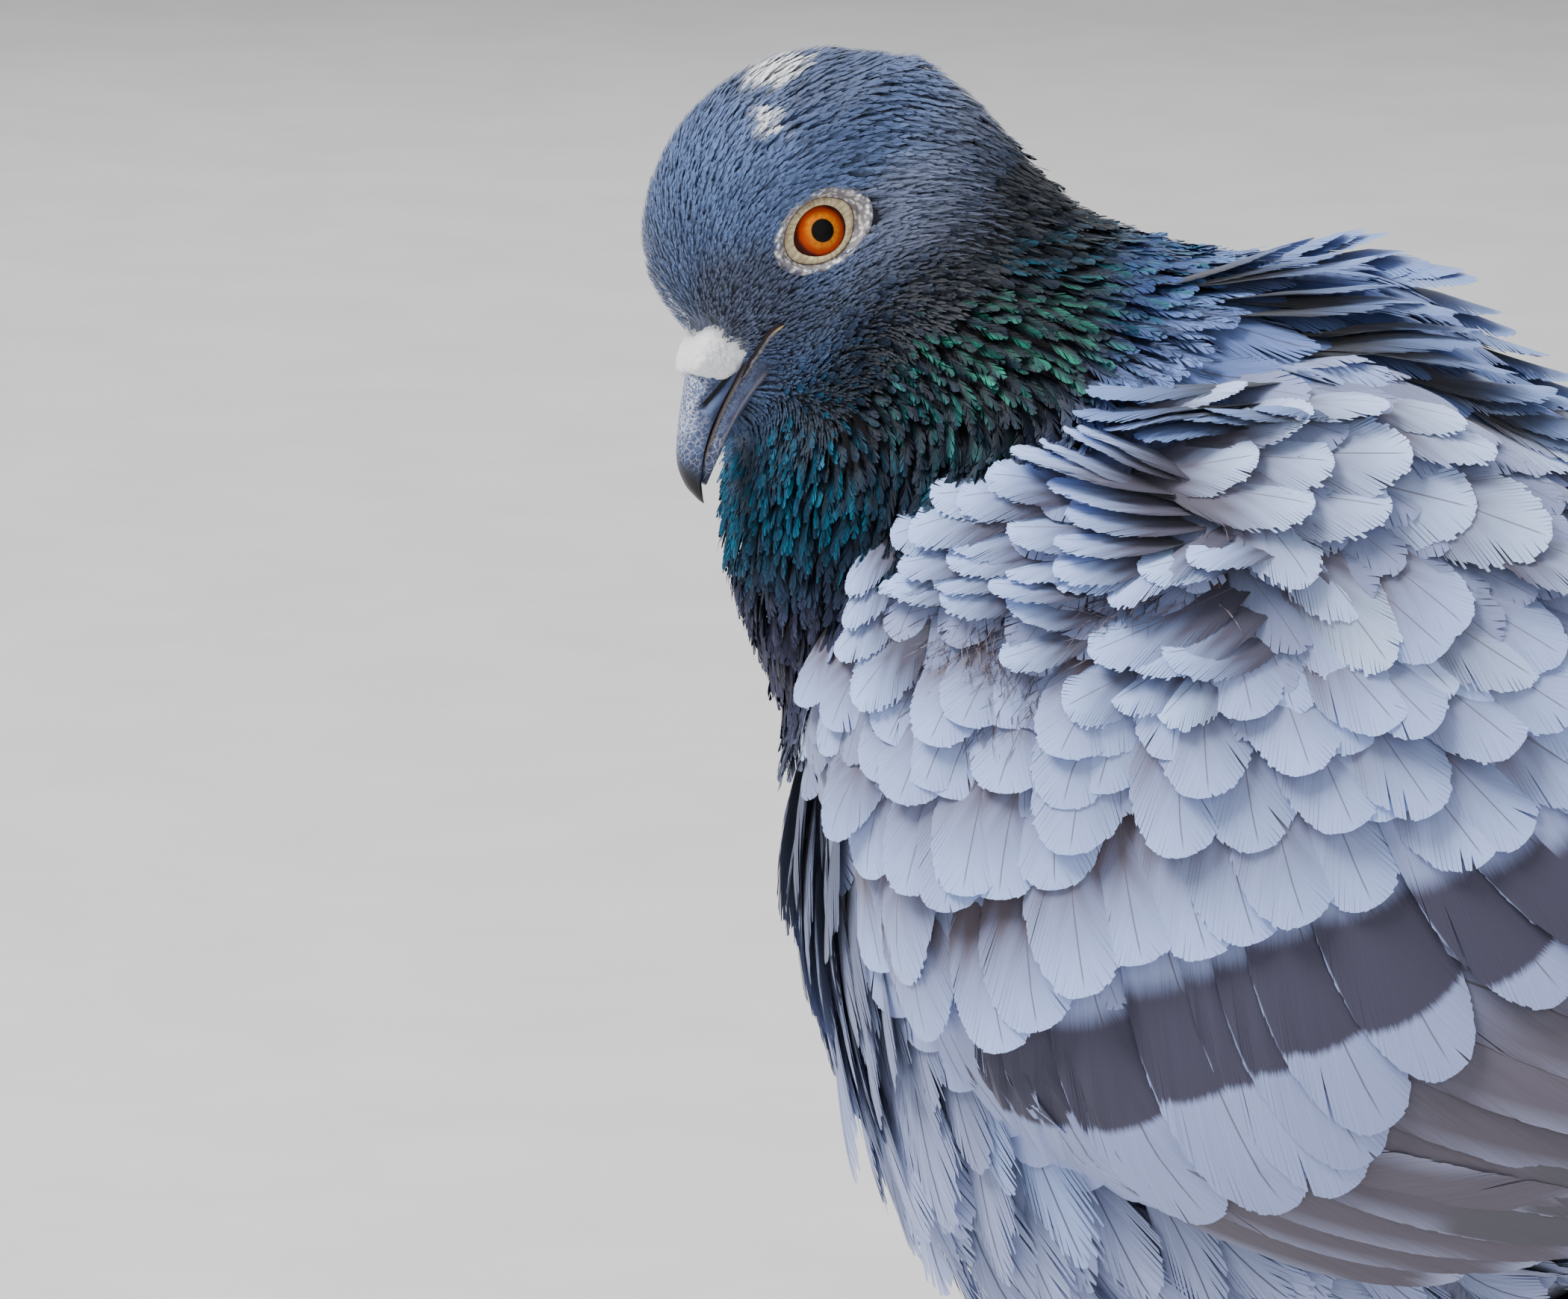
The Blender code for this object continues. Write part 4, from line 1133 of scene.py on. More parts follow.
# ------------------------------------------------------------
# Greater coverts. Long feathers in one row along the wing, each crossed near its tip by a dark bar, so
# that together they carry the first wing bar.
# tip line: behind, height, length, half width
GREATER = (
    (17, 90, 26, 6.0), (28.6, 79, 30, 6.4), (37.3, 73, 36, 6.8), (47, 69.5, 42, 7.2),
    (56.3, 68.2, 50, 7.4), (63.5, 72, 52, 7.6), (70, 74, 52, 7.6), (75, 77.2, 52, 7.6),
    (79.7, 79.2, 50, 7.6), (84, 83.5, 50, 7.6), (88, 87, 48, 7.6), (93.5, 92.4, 46, 7.6),
    (97, 97.5, 44, 7.6), (108, 105, 42, 7.4), (122, 112, 38, 7.0),
)
# the bar's middle line: behind, height
BAR_LINE = (
    (30, 85), (37, 85.4), (41.6, 86), (51.6, 90.5), (61, 94), (69.7, 97.4), (76, 101), (87, 105.2),
    (100, 110), (122, 119),
)
# half the bar's width, how far behind the first barred feather lies, and what keeps the bar off the others
BAR_HALF, FIRST_BARRED, NO_BAR_NEAR = 6.9, 34, 99


def greater_row(side):
    draw = np.random.default_rng(61 + side)
    rows = spaced(GREATER, lambda row: row[3] * 1.02, draw, 0.6)
    lengths = rows[:, 2] * MM
    roots, headings = rooted(on_side(rows[:, 0], rows[:, 1], side), lengths)
    plain = np.where(rows[:, 0] < FIRST_BARRED, NO_BAR_NEAR, 0.0)
    return roots, headings, lengths, rows[:, 3] * MM, plain, np.full(len(rows), -0.12 * side)


def bar_from_tip(walk, lengths):
    """How far from its tip, in millimetres, each feather's shaft crosses the bar's middle line."""
    behind, height = to_body(walk[0])
    over = height - np.interp(behind, *np.transpose(BAR_LINE))
    share = np.linspace(0, 1, over.shape[1])
    return np.array([np.interp(0, line[::-1], share) for line in over]) * lengths / MM


def tip_gap(pattern, lengths):
    """How far each corner of each vane lies from its tip, in millimetres."""
    return (1 - pattern["along"])[None] * lengths[:, None] / MM


roots, headings, lengths, halves, plain, rolls = both_sides(greater_row)
walk = laid(roots, headings, lengths, 8, 0.15)
draw = np.random.default_rng(62)
bars = bar_from_tip(walk, lengths) + plain + draw.normal(size=len(roots)) * 0.5
pattern = vane_pattern(barbs=44, joints=3, slender=2.6, fullness=1.5, bluntness=0.36, barb_slant=1.6)
bar = (tip_gap(pattern, lengths) - bars[:, None] - 1.5 * pattern["across"][None] ** 2) / BAR_HALF
colour = varied(paint(158, 172, 220), draw, 0.04, len(roots))
# painted shade: darker towards the root, under the row of coverts above
greater = feathers(
    "greater_coverts", walk, pattern, half=halves, sink=2.4 * MM, rise=0.7 * MM,
    tint=shaded(colour, (0.0, 0.4), (0.15, 0.6), (0.4, 0.9), (1.0, 1)), wrap=BODY_WRAP, seed=37,
    fray=0.05, split=0.03, roll=rolls, stagger=0.1, cup=0.12, bar=bar,
)
greater.data.materials.append(wing_finish)

# ------------------------------------------------------------
# Secondaries. Stiff long feathers under the greater coverts, bluish at the front and brownish grey behind,
# with a second dark bar. Their lower edges lie stacked along the lower side of the folded wing.
# root: behind, height; middle of the vane; tip; half width; bar from tip
SECONDARIES = (
    ((32, 79), (56, 66.5), (84, 61.5), 5.4, 99), ((35, 83), (62, 69), (94, 64.5), 6.0, 99),
    ((38, 87), (68, 72), (103, 67.5), 6.6, 99), ((42, 91), (75, 75.5), (112, 70.5), 7.2, 20),
    ((46, 95), (82, 79), (121, 74), 7.6, 20), ((51, 99), (89, 83), (130, 77.5), 8.0, 20),
    ((57, 103), (96, 87), (139, 81), 8.0, 20), ((64, 107), (104, 91), (148, 84.5), 8.0, 19),
    ((72, 111), (112, 95), (157, 88), 8.0, 18), ((81, 115), (120, 99), (165, 92), 8.0, 17),
    ((90, 118), (128, 103), (173, 96), 8.0, 16), ((100, 121), (137, 107), (180, 100.5), 8.0, 15),
)
SECONDARY_STEPS, SECOND_BAR_HALF = 12, 8.5


def secondary_row(side):
    """Walks along the wing's surface through each feather's three places."""
    share = np.linspace(0, 1, SECONDARY_STEPS + 1)[:, None]
    places = []
    for row in SECONDARIES:
        root, waist, tip = (np.array(place) for place in row[:3])
        bend = waist * 2 - (root + tip) / 2
        places.append(root * (1 - share) ** 2 + bend * 2 * share * (1 - share) + tip * share**2)
    places = np.concatenate(places)
    here, ups = on_outline(on_side(places[:, 0], places[:, 1], side))
    here = here.reshape(len(SECONDARIES), -1, 3)
    ahead = unit(np.gradient(here, axis=1))
    halves, bars = (np.array([row[k] for row in SECONDARIES], float) for k in (3, 4))
    return here, ups.reshape(here.shape), ahead, halves * MM, bars, np.full(len(here), -0.14 * side)


places, ups, aheads, halves, bars, rolls = both_sides(secondary_row)
lengths = np.linalg.norm(np.diff(places, axis=1), axis=2).sum(1)
draw = np.random.default_rng(72)
pattern = vane_pattern(barbs=56, joints=3, slender=4.0, fullness=1.4, bluntness=0.34)
bar = (tip_gap(pattern, lengths) - bars[:, None]) / SECOND_BAR_HALF
colour = varied(paint(90, 84, 98), draw, 0.06, len(places))


def secondary_tint(along, across):
    """Brownish grey, with a thin pale edge and a pale tip."""
    front, pale = paint(112, 120, 154), paint(158, 166, 200)
    tint = blend_tints((0.0, front), (0.16, front), (0.4, colour), (0.9, colour), (0.97, pale))
    return layered(tint(along, across), (smooth_step(0.88, 1.0, abs(across)) * 0.5, pale))


secondaries = feathers(
    "secondaries", (places, ups, aheads), pattern, half=halves, sink=2.4 * MM, rise=0.4 * MM,
    tint=secondary_tint, wrap=BODY_WRAP, seed=38, fray=0.03, split=0.02, roll=rolls, stagger=0.1, cup=0.1,
    bar=bar,
)
flight_finish = plumage(
    "flight_plumage", barbs=80, depth=0.05, shaft=paint(60, 56, 58), shaft_share=0.03, streak=0.1,
    bar=paint(78, 76, 86), Roughness=0.6, Sheen_Weight=0.1,
)
secondaries.data.materials.append(flight_finish)

# ------------------------------------------------------------
# Primaries. Five dark narrow feathers of each wing show behind the secondaries, folded flat over one
# another and slightly bowed, their tips stepped one behind the next.
# tip: behind, height, out; root: behind, height, out; half width
PRIMARIES = (
    ((190, 94, 17.5), (120, 92, 27), 6.2), ((201, 92.5, 14.5), (126, 94, 26), 6.0),
    ((212, 91.5, 12.0), (132, 96, 25), 5.6), ((222, 90.5, 9.0), (138, 98, 24), 5.2),
    ((229.5, 89, 6.0), (144, 100, 23), 4.6),
)


def drawn(roots, tips, ups, steps, bow):
    """Bowed walks from roots to tips, in the form that laid gives."""
    share = np.linspace(0, 1, steps + 1)[None, :, None]
    roots, tips, ups = (np.asarray(v, float)[:, None] for v in (roots, tips, ups))
    ahead = unit(tips - roots)
    ups = unit(ups - ahead * (ups * ahead).sum(-1, keepdims=True))
    places = roots + (tips - roots) * share + ups * np.sin(math.pi * share) * bow
    return places, np.repeat(ups, steps + 1, 1), np.repeat(ahead, steps + 1, 1)


tips, roots, ups, halves, rolls = [], [], [], [], []
for side in (1, -1):
    for order, (tip, root, half) in enumerate(PRIMARIES):
        tips.append(body_place(tip[0], tip[1], (tip[2] - 0.4 * order) * side))
        roots.append(body_place(root[0], root[1], root[2] * side))
        ups.append((0.95 * side, 0.15, 0.3))
        halves.append(half * MM)
        rolls.append(-0.06 * side)
colour = varied(paint(92, 86, 90), np.random.default_rng(73), 0.06, len(rolls))
primaries = feathers(
    "primaries", drawn(roots, tips, ups, 10, 1.6 * MM),
    vane_pattern(barbs=90, joints=3, slender=8.0, fullness=1.25, bluntness=0.33), half=np.array(halves),
    sink=0.0, rise=0.0, tint=shaded(colour, (0.0, 1), (0.7, 1), (1.0, 0.8)),
    wrap=(body_place(170, 95), (0, 1, 0)), seed=39, fray=0.02, split=0.02, roll=rolls, stagger=0.05,
    cup=0.12,
)
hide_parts("primaries_left", "primaries_right")
primaries.data.materials.append(flight_finish)

# ------------------------------------------------------------
# Tail. Twelve long feathers, closed to a narrow fan with the middle pair uppermost, grey with a broad dark
# band at the end, and rows of soft coverts over and under their roots.
TAIL_ROOT, TAIL_END, TAIL_UP, TAIL_WAY = (138, 114), (247, 70.6), (0, 0.37, 0.93), (0.928, -0.372)
TAIL_HALF, TAIL_SPREAD, TAIL_LENGTH, TAIL_PAIRS = 8.8, 2.2, 117.0, 6
BAND_HALF, BAND_FROM_TIP = 14.0, 0.9
tips, roots = [], []
for side in (1, -1):
    for order in range(TAIL_PAIRS):
        out = side * (1.6 + TAIL_SPREAD * order)
        back = TAIL_END[0] - 0.25 * order**1.6
        tips.append(body_place(back, TAIL_END[1] + 0.9 - 0.42 * order + 0.1 * side, out))
        roots.append(body_place(TAIL_ROOT[0], TAIL_ROOT[1] + 1.2 - 0.5 * order, out * 0.35))
walk = drawn(roots, tips, [TAIL_UP] * len(roots), 12, -1.2 * MM)
colour = varied(paint(124, 130, 148), np.random.default_rng(74), 0.04, len(roots))
pattern = vane_pattern(barbs=110, joints=3, slender=9.0, fullness=1.6, bluntness=0.3)
band = np.repeat(((1 - pattern["along"]) * TAIL_LENGTH / BAND_HALF - BAND_FROM_TIP)[None], len(roots), 0)
tail = feathers(
    "tail_feathers", walk, pattern, half=TAIL_HALF * MM, sink=0.0, rise=0.0,
    tint=shaded(colour, (0.0, 1), (0.7, 1), (1.0, 0.9)), wrap=(body_place(190, 92), (0, 1, 0)), seed=42,
    fray=0.03, split=0.03, stagger=0.04, cup=0.1, bar=band,
)
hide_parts("tail")
tail_finish = plumage(
    "tail_plumage", barbs=110, depth=0.05, shaft=paint(64, 62, 70), shaft_share=0.03, streak=0.1,
    bar=paint(50, 50, 58), Roughness=0.65, Sheen_Weight=0.1,
)
tail.data.materials.append(tail_finish)

# behind, height, out to both sides; length, half width; the last column is 1 above the tail, -1 below
TAIL_COVERTS = (
    (132, 119.5, 0, 40, 8.0, 1), (136, 116.5, 8, 38, 7.5, 1), (138, 113, 14, 34, 7.0, 1),
    (148, 112, 4, 40, 8.0, 1), (150, 110, 11, 36, 7.5, 1), (142, 100, 0, 46, 8.0, -1),
    (140, 99, 8, 44, 7.5, -1), (152, 97, 5, 44, 8.0, -1), (150, 98, 12, 36, 7.0, -1),
)
roots, tips, ups, halves = [], [], [], []
for behind, height, out, length, half, up in TAIL_COVERTS:
    for side in (1, -1):
        root = body_place(behind, height + 0.3 * side, out * side)
        roots.append(root)
        tips.append(root + np.array([0.005 * side * out, *TAIL_WAY]) * length * MM)
        ups.append(np.array(TAIL_UP) * up)
        halves.append(half * MM)
draw = np.random.default_rng(75)
colour = varied(RUMP, draw, 0.04, len(roots))
tail_coverts = feathers(
    "tail_coverts", drawn(roots, tips, ups, 8, 1.5 * MM),
    vane_pattern(barbs=40, joints=3, slender=2.8, fullness=1.4, bluntness=0.4), half=halves,
    sink=1.0 * MM, rise=0.6 * MM, tint=shaded(colour, (0.0, 0.7), (0.6, 0.95), (1.0, 1)),
    wrap=(body_place(160, 105), (0, 1, 0)), seed=43, fray=0.12, split=0.1, stagger=0.2,
    roll=draw.normal(size=len(roots)) * 0.08,
)
tail_coverts.data.materials.append(soft_finish)

# ------------------------------------------------------------
# Bill. Horn over bone: the upper half slate blue, frosted white towards its ridge and scratched near the
# glossy black hook, the lower half darker with a cream edge along the mouth. Both root in the head.
# back of the eye line, underside, top, half width
UPPER_BILL = (
    (-11.0, -3.6, 1.8, 4.4), (-16.5, -3.8, 2.0, 4.3), (-20.5, -4.4, 0.9, 3.6), (-24.5, -5.1, -0.9, 3.0),
    (-28.2, -6.4, -2.9, 2.4), (-30.8, -8.0, -4.7, 1.8), (-32.4, -9.5, -7.0, 1.1),
    (-32.95, -10.3, -9.2, 0.35),
)
LOWER_BILL = (
    (-9.0, -8.8, -3.4, 5.0), (-14.0, -8.4, -3.6, 4.2), (-20.0, -7.6, -4.4, 3.25),
    (-24.0, -7.9, -5.2, 2.65), (-28.0, -8.5, -6.5, 1.95), (-31.0, -9.2, -8.2, 0.9),
)
BILL_POWER, MOUTH_POWER, BILL_STATIONS, BILL_POINTS = 2.2, 5.0, 9, 56


def through(rows, steps):
    """Rows on a smooth curve through the given rows, with steps between each two."""
    table = np.array([rows[0], *rows, rows[-1]], float)
    found = []
    for before, start, end, after in zip(table, table[1:], table[2:], table[3:]):
        for t in np.arange(steps) / steps:
            square = 2 * before - 5 * start + 4 * end - after
            cube = 3 * start - before - 3 * end + after
            found.append(0.5 * (2 * start + (end - before) * t + square * t**2 + cube * t**3))
    return np.array(found + [table[-1]])


def from_bmesh(name, bm):
    mesh = bpy.data.meshes.new(name)
    bm.to_mesh(mesh)
    bm.free()
    mesh.shade_smooth()
    return placed(name, mesh)


def tube(name, rings, closed=(True, True)):
    """A tube of quads through rings of equal count, given as places."""
    bm = bmesh.new()
    loops = [[bm.verts.new(point) for point in ring] for ring in rings]
    for near, far in zip(loops, loops[1:]):
        for k in range(len(near)):
            following = (k + 1) % len(near)
            bm.faces.new((near[k], near[following], far[following], far[k]))
    for shut, loop in zip(closed, (loops[0], loops[-1])):
        if shut:
            bm.faces.new(loop)
    bmesh.ops.recalc_face_normals(bm, faces=bm.faces)
    return from_bmesh(name, bm)


def store_place(obj, places):
    store(obj, "place", places, "FLOAT_VECTOR", "vector")


def bill_half(name, rows, shape, mouth):
    """One half of the bill through rows of sections. mouth is 1 or -1, where its wall stands square."""
    angles = np.arange(BILL_POINTS) * 2 * math.pi / BILL_POINTS
    power = np.where(np.sin(angles) * mouth > 0, MOUTH_POWER, BILL_POWER)
    across, upwards = (np.sign(v) * abs(v) ** (2 / power) for v in (np.cos(angles), np.sin(angles)))
    rings = []
    for back, low, high, half in through(rows, BILL_STATIONS):
        height = upwards * (high - low) / 2 + (high + low) / 2
        ring = np.stack([across * half, np.full(BILL_POINTS, back), height], -1)
        rings.append(shape(ring, low, high))
    obj = tube(name, from_head(rings).tolist())
    store_place(obj, rings)
    store(obj, "part", np.tile(np.sin(angles), len(rings)))
    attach(obj, "root")
    return obj


NOSTRIL_REAR, NOSTRIL_FRONT, NOSTRIL_HALF = np.array([4.2, -18.2, -3.2]), np.array([2.9, -24.1, -2.7]), 0.55
NOSTRIL_RUN, NOSTRIL_SQUARE = NOSTRIL_FRONT - NOSTRIL_REAR, 36.5


def upper_shape(ring, low, high):
    """Draws the cutting edge in under the side and lays the nostril's slit in."""
    from_rear = on_left(ring) - NOSTRIL_REAR
    along = np.clip(from_rear @ NOSTRIL_RUN / NOSTRIL_SQUARE, 0, 1)[:, None]
    gap = np.linalg.norm((from_rear - along * NOSTRIL_RUN) * (0.4, 1, 1), axis=1)
    ring[:, 0] -= np.sign(ring[:, 0]) * np.exp(-((gap / NOSTRIL_HALF) ** 2)) * 0.75
    ring[:, 0] *= 1 - 0.08 * smooth_step(low + 0.7, low, ring[:, 2])
    return ring


def lower_shape(ring, low, high):
    ring[:, 0] *= 1 - 0.1 * smooth_step(high - 0.8, high, ring[:, 2])
    return ring


def horn(name, base, dark, frosted, nostril):
    finish = Finish(name, Roughness=0.5, Specular_IOR_Level=0.3, Coat_Roughness=0.35)
    place, part = finish.read("place", "Vector"), finish.read("part")
    back, height = finish.axis(place, "Y"), finish.axis(place, "Z")
    long_grain = finish.grain(1.0, 4, place, (1.8, 0.35, 1.8))
    speckle = finish.grain(3.2, 3, place)
    webs = finish.cells(1.3, place, (1.1, 0.8, 1.1), "DISTANCE_TO_EDGE")
    frost = part.step(-0.3, 0.9) * speckle.step(0.42, 0.62) * back.step(-30.5, -26) * frosted
    scratch = webs.step(0.09, 0.02) * back.step(-24, -27) * back.step(-32, -30.5) * speckle.step(0.3, 0.5)
    slope = float(NOSTRIL_RUN[2] / NOSTRIL_RUN[1])
    rear, level, front = float(NOSTRIL_REAR[1]), float(NOSTRIL_REAR[2]), float(NOSTRIL_FRONT[1])
    # painted shade: the nostril's slit near-black, for the shade inside the opening
    slit = abs(height - (back - rear) * slope - level).step(0.42, 0.2)
    slit = slit * back.step(front - 0.6, front + 0.6) * back.step(-14, -16)
    colour = finish.layers(
        base, (long_grain.step(0.35, 0.65), dark), (frost, paint(196, 200, 212)),
        (scratch * 0.5, paint(206, 210, 222)), (slit * nostril, (0.004, 0.004, 0.008)),
        (back.step(-29.0, -32.0), (0.008, 0.008, 0.01)),
    )
    return finish, colour, part, back, speckle


upper_bill = bill_half("upper_bill", UPPER_BILL, upper_shape, -1)
finish, colour, part, back, speckle = horn("upper_horn", paint(92, 108, 148), paint(60, 72, 104), 0.95, 1.0)
mouth = part.step(-0.62, -0.86) * back.step(-29, -26)
upper_bill.data.materials.append(
    finish.feed(
        Base_Color=finish.mix(mouth * 0.7, colour, paint(116, 72, 62)), Normal=finish.bump(speckle, 0.12),
        Roughness=0.55 - back.step(-27, -31) * 0.1, Coat_Weight=back.step(-26, -31) * 0.2,
    )
)
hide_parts("bill_upper")

lower_bill = bill_half("lower_bill", LOWER_BILL, lower_shape, 1)
finish, colour, part, back, speckle = horn("lower_horn", paint(84, 96, 132), paint(60, 68, 96), 0.4, 0.0)
edge_line = part.step(0.42, 0.62) * part.step(0.95, 0.8) * back.step(-31, -27)
lower_line = abs(part + 0.25).step(0.16, 0.05) * back.step(-30, -25) * 0.7
colour = finish.layers(
    colour, (edge_line * 0.8, paint(186, 176, 162)), (lower_line, paint(150, 142, 138)),
    (part.step(0.86, 0.98), paint(70, 36, 32)),
)
lower_bill.data.materials.append(finish.feed(Base_Color=colour, Normal=finish.bump(speckle, 0.12)))
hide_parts("bill_lower")

# ------------------------------------------------------------
# Cere. Two soft swollen lobes of bare chalk-white skin over the nostrils, with a fine yellowish rim where
# they meet the forehead and a blue-grey shadow along their lower front edge.
CERE_AT, CERE_HALF, CERE_POWER, CERE_VOXEL = (2.0, -17.2, -0.5), (3.3, 3.8, 3.0), 4.0, 0.22 * MM
bm = bmesh.new()
for side in (1, -1):
    centre = Vector((CERE_AT[0] * side, *CERE_AT[1:]))
    for vert in bmesh.ops.create_icosphere(bm, subdivisions=5, radius=1.0)["verts"]:
        x, y, z = vert.co / sum(abs(c) ** CERE_POWER for c in vert.co) ** (1 / CERE_POWER)
        narrow = 1 + 0.16 * min(y, 0.0)
        x, y, z = x * narrow * CERE_HALF[0], y * CERE_HALF[1], z * narrow * CERE_HALF[2]
        vert.co = HEAD @ ((centre + Vector((x, y - 0.42 * z, z + 0.14 * y))) * MM)
cere = shaped(
    from_bmesh("cere_lobes", bm),
    ("REMESH", {"mode": "VOXEL", "voxel_size": CERE_VOXEL}), ("SMOOTH", {"factor": 0.5, "iterations": 5}),
)
points, _, normals = arrays(cere)
local = to_head(points)
lumps = np.array([noise.noise(Vector(p) * 1.5) + 0.6 * noise.noise(Vector(p) * 3.4) for p in local])
points = points + normals * (lumps * 0.14 * MM)[:, None]
cere.data.vertices.foreach_set("co", points.astype(np.float32).ravel())
store_place(cere, local)
finish = Finish("cere_chalk", Roughness=0.85, Sheen_Weight=0.3)
place = finish.read("place", "Vector")
pores = finish.grain(4.0, 5, place)
colour = finish.layers(
    paint(236, 236, 244), (pores.step(0.3, 0.6), paint(255, 255, 255)),
    (finish.axis(place, "Y").step(-14.8, -13.8) * 0.5, paint(222, 205, 150)),
    (finish.axis(place, "Z").step(-2.6, -3.6) * 0.85, paint(92, 94, 122)),
)
cere.data.materials.append(finish.feed(Base_Color=colour, Normal=finish.bump(pores, 0.25)))
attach(cere, "root")
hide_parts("cere")

# ------------------------------------------------------------
# Corners of the mouth. A soft fleshy fold carries the mouth's line back from the horn to below the eye, dark
# in the slit above, which is painted shade, and cream below, pressed into the feathers of the cheek.
# left, back, up, radius
MOUTH_CORNER = (
    (2.9, -18.4, -4.2, 0.1), (3.6, -16.9, -4.0, 0.34), (5.6, -15.2, -3.6, 0.44), (7.3, -13.8, -3.1, 0.46),
    (8.5, -12.5, -2.9, 0.46), (9.1, -11.6, -3.2, 0.34), (9.3, -11.2, -3.5, 0.12),
)
CORNER_POINTS = 20
finish = Finish("mouth_corner", Roughness=0.6, Specular_IOR_Level=0.3)
place = finish.read("place", "Vector")
creases = finish.grain(2.4, 3, place)
colour = finish.layers(
    paint(140, 136, 136), (creases.step(0.35, 0.65), paint(96, 94, 104)),
    (finish.axis(place, "Y").step(-13.6, -11.8) * 0.9, paint(206, 186, 130)),
    # painted shade: the half towards the slit near-black
    (finish.read("part").step(-0.1, 0.35), paint(30, 18, 20)),
)
corner_finish = finish.feed(Base_Color=colour, Normal=finish.bump(creases, 0.1))
for side, name in ((1, "left"), (-1, "right")):
    line = through(MOUTH_CORNER, 6) * (side, 1, 1, 1)
    centres, ups = on_outline(from_head(line[:, :3]))
    aheads = unit(np.gradient(centres, axis=0))
    asides = unit(np.cross(aheads, ups)) * side
    angles = np.arange(CORNER_POINTS) * 2 * math.pi / CORNER_POINTS
    across, upwards = np.cos(angles)[None, :, None], np.sin(angles)[None, :, None] * 0.8
    spread = asides[:, None] * across + ups[:, None] * upwards
    rings = (centres + ups * 0.12 * MM)[:, None] + spread * (line[:, 3] * MM)[:, None, None]
    corner = tube(f"mouth_corner_{name}", rings.tolist())
    store_place(corner, to_head(rings))
    store(corner, "part", np.tile(-np.cos(angles), len(rings)))
    corner.data.materials.append(corner_finish)
    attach(corner, "root")

# ------------------------------------------------------------
# Eyes. Clear wet balls with a black pupil, a golden ring round it, then orange-red and a dark red rim.
# Round each lies a fold of lid, cream inside and warty and whitish outside, drawn out fore and aft.
EYE_OUT, EYE_RADIUS, EYE_RINGS, EYE_POINTS, EYE_SHOWN = 8.2, 4.9, 44, 72, math.pi * 0.62
finish = Finish("eye_wet", Roughness=0.4, Specular_IOR_Level=0.1, Coat_Roughness=0.03, Coat_IOR=1.28)
place, radius = finish.read("place", "Vector"), finish.read("radius")
spokes = finish.grain(1.0, 3, finish.flat(finish.read("turn") * 26, radius * 1.2))
wobble = radius + (finish.grain(1.2, 2, place) - 0.5) * 0.35
colour = finish.layers(
    paint(190, 96, 2), (spokes.step(0.3, 0.7), paint(216, 128, 8)),
    (wobble.step(1.8, 2.5), paint(176, 56, 0)), (wobble.step(2.5, 3.15), paint(56, 8, 4)),
    (radius.step(1.5, 1.36), (0.002, 0.002, 0.002)),
)
eye_finish = finish.feed(Base_Color=colour, Coat_Weight=0.1, Normal=finish.bump(spokes, 0.05))
for side, name in ((1, "left"), (-1, "right")):
    bow = np.linspace(0, EYE_SHOWN, EYE_RINGS)[1:, None]
    angle = np.arange(EYE_POINTS)[None] * 2 * math.pi / EYE_POINTS
    out, off = EYE_OUT + EYE_RADIUS * np.cos(bow), EYE_RADIUS * np.sin(bow)
    local = np.stack([out * np.ones_like(angle) * side, off * np.cos(angle), off * np.sin(angle)], -1)
    ball = tube(f"eyeball_{name}", from_head(local).tolist())
    store_place(ball, local)
    store(ball, "radius", np.hypot(local[..., 1], local[..., 2]))
    store(ball, "turn", np.tile(np.arange(EYE_POINTS) / EYE_POINTS, len(local)))
    ball.data.materials.append(eye_finish)
    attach(ball, "root")
    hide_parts(f"eye_{name}")

# The fold's rows run from the slit, share 0, to the feathers, share 1, with a crease between two folds.
LID_POINTS, LID_ROWS, LID_TILT, LID_CREASE = 160, 26, math.radians(16), 0.42
# half sizes fore and aft and upwards
SLIT_HALF, LID_HALF, LID_POWER = (3.35, 2.85), (6.7, 4.7), 1.9
finish = Finish("lid_skin", Roughness=0.7)
row, turn = finish.read("row"), finish.read("turn")
warts = finish.cells(1.5, finish.read("place", "Vector"))
folds = finish.grain(1.0, 2, finish.flat(turn * 60, row * 2))
cream = finish.mix(folds.step(0.35, 0.65), paint(232, 218, 172), paint(188, 168, 132))
outer = finish.mix(warts.step(0.2, 0.62), paint(228, 226, 224), paint(128, 124, 130))
colour = finish.layers(
    cream, (row.step(LID_CREASE - 0.04, LID_CREASE), paint(84, 60, 54)),
    (row.step(LID_CREASE, LID_CREASE + 0.06), outer), (row.step(0.95, 1.0), paint(150, 150, 158)),
)
lid_finish = finish.feed(Base_Color=colour, Normal=finish.bump(warts, 0.3, 0.6))
hide_tree = BVHTree.FromPolygons([tuple(p) for p in hide_points], outline_quads.tolist())


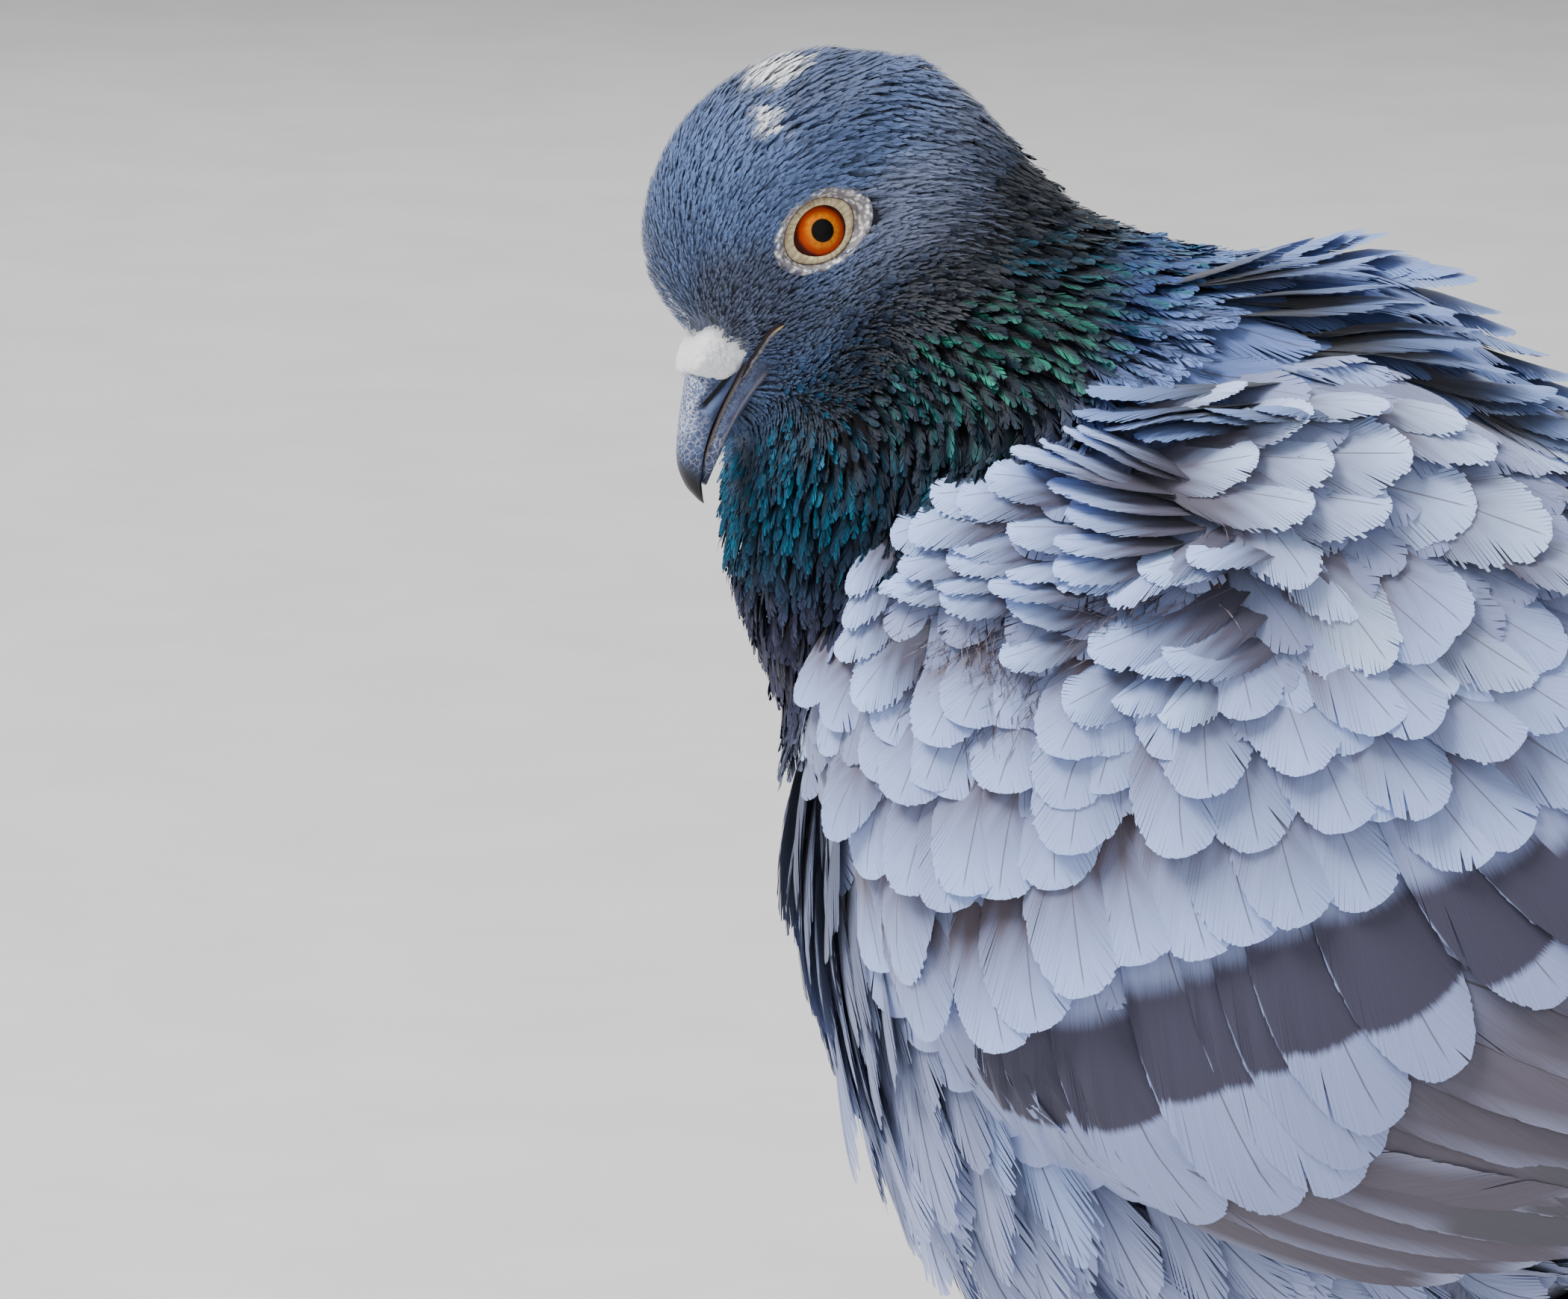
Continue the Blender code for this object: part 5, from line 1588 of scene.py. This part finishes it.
def lid_place(side, share, angle):
    """A place on the lid in the head's frame: out over the eyeball, then over hide and outline."""
    fore, top = math.cos(angle), math.sin(angle)
    inner = 1 / math.hypot(fore / SLIT_HALF[0], top / SLIT_HALF[1]) + 0.2 * max(0.0, fore) ** 10
    bulge = abs(fore / LID_HALF[0]) ** LID_POWER + abs(top / LID_HALF[1]) ** LID_POWER
    reach = inner + (1 / bulge ** (1 / LID_POWER) - inner) * share
    y, z = -reach * math.cos(angle + LID_TILT), reach * math.sin(angle + LID_TILT)
    inside = math.sqrt(max(EYE_RADIUS**2 - min(reach, 4.6) ** 2, 0.0)) + EYE_OUT
    start, inward = Vector(from_head((30 * side, y, z))), Vector(HEAD_AXES @ np.array([-side, 0, 0]))
    hits = (tree.ray_cast(start, inward)[0] for tree in (outline_tree, hide_tree))
    out, bare = (abs(to_head(np.array(hit))[0]) if hit else inside for hit in hits)
    edge = smooth_step(0.12, 0.85, share)
    x = (inside + 0.06) * (1 - edge) + (out - 0.35) * edge
    if share > 0.1:
        x = max(x, bare + 0.1)
    x += 0.42 * math.sin(math.pi * min(share / LID_CREASE, 1.0))
    x += 0.5 * math.sin(math.pi * max(0.0, share - LID_CREASE) / (1 - LID_CREASE))
    x += 0.3 * noise.noise(Vector((y, z, side * 3.0)) * 2.3) * smooth_step(0.45, 0.6, share)
    if share == 0:
        x -= 0.25
    return x * side, y, z


shares, turns = np.arange(LID_ROWS + 1) / LID_ROWS, np.arange(LID_POINTS) / LID_POINTS
for side, name in ((1, "left"), (-1, "right")):
    local = np.array([[lid_place(side, share, 2 * math.pi * turn) for turn in turns] for share in shares])
    lid = tube(f"eyelid_{name}", from_head(local).tolist(), (False, False))
    store_place(lid, local)
    store(lid, "row", np.repeat(shares, LID_POINTS))
    store(lid, "turn", np.tile(turns, len(shares)))
    lid.data.materials.append(lid_finish)
    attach(lid, "root")

# ------------------------------------------------------------
# Legs and feet. Red scaly skin over shanks and toes, warty on the pads below, with a dark curved claw at
# the end of each toe.
LEG_SWELL, LEG_VOXEL = 0.2 * MM, 0.42 * MM
for side in ("left", "right"):
    bm = bmesh.new()
    for part in ("shank", "foot"):
        bm.from_mesh(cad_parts[f"{part}_{side}"].data)
    leg = shaped(
        from_bmesh(f"leg_{side}", bm),
        ("DISPLACE", {"strength": LEG_SWELL, "mid_level": 0.0}),
        ("REMESH", {"mode": "VOXEL", "voxel_size": LEG_VOXEL}),
        ("SMOOTH", {"factor": 0.5, "iterations": 4}),
    )
    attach(leg, "root")
    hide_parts(f"shank_{side}", f"foot_{side}")
    finish = Finish(f"leg_skin_{side}", Roughness=0.55)
    scales, blotch = finish.cells(700), finish.grain(160, 4)
    colour = finish.layers(
        paint(176, 84, 82), (scales.step(0.25, 0.6), paint(120, 44, 44)),
        (blotch.step(0.5, 0.7) * 0.5, paint(170, 130, 126)),
    )
    leg.data.materials.append(finish.feed(Base_Color=colour, Normal=finish.bump(scales, 0.35)))

finish = Finish("claw_horn", Roughness=0.35)
streak = finish.grain(400, 4, stretch=(1, 0.2, 1))
colour = finish.mix(streak.step(0.35, 0.65), paint(30, 28, 32), paint(74, 68, 70))
claw_finish = finish.feed(Base_Color=colour, Normal=finish.bump(streak, 0.05))
for node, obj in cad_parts.items():
    if node.startswith("claw_"):
        obj.data.materials.clear()
        obj.data.materials.append(claw_finish)

# ------------------------------------------------------------
# Floor, light and camera.
floor = mesh_object("floor", [(-9, -9, 0), (9, -9, 0), (9, 9, 0), (-9, 9, 0)], [(0, 1, 2, 3)])
finish = Finish("pale_floor", Roughness=0.9)
specks = finish.grain(30, 3)
colour = finish.mix(specks.step(0.3, 0.7), (0.62, 0.61, 0.60), (0.66, 0.65, 0.64))
floor.data.materials.append(finish.feed(Base_Color=colour))

TARGET = Vector((0.020, -0.11597, 0.1309))
# place, size in metres, watts
LAMPS = {
    "key": ((0.5, -0.9, 1.4), 0.7, 40), "fill": ((1.4, 0.7, 0.7), 1.4, 7),
    "top": ((-0.3, 0.1, 1.6), 1.0, 14), "rear": ((-1.3, -0.4, 0.9), 1.2, 8),
}
for name, (place, size, power) in LAMPS.items():
    lamp = bpy.data.lights.new(name, "AREA")
    lamp.shape, lamp.size, lamp.energy = "DISK", size, power
    holder = placed(name, lamp)
    holder.location = place
    holder.rotation_euler = (TARGET - Vector(place)).to_track_quat("-Z", "Y").to_euler()
world = bpy.data.worlds.new("studio")
world.use_nodes = True
sky, strength = world.node_tree.nodes["Background"].inputs[:2]
sky.default_value, strength.default_value = (0.85, 0.9, 1.0, 1), 0.3
bpy.context.scene.world = world

AZIMUTH, ELEVATION, LENS, SENSOR, VIEW_WIDTH = math.radians(95), math.radians(10), 300.0, 36.0, 0.1909
camera = placed("camera", bpy.data.cameras.new("camera"))
camera.data.lens, camera.data.sensor_width, camera.data.clip_end = LENS, SENSOR, 50
level = math.cos(ELEVATION)
towards = Vector((math.sin(AZIMUTH) * level, -math.cos(AZIMUTH) * level, math.sin(ELEVATION)))
camera.location = TARGET + towards * VIEW_WIDTH * LENS / SENSOR
camera.rotation_euler = towards.to_track_quat("Z", "Y").to_euler()
bpy.context.scene.camera = camera

bpy.context.view_layer.update()
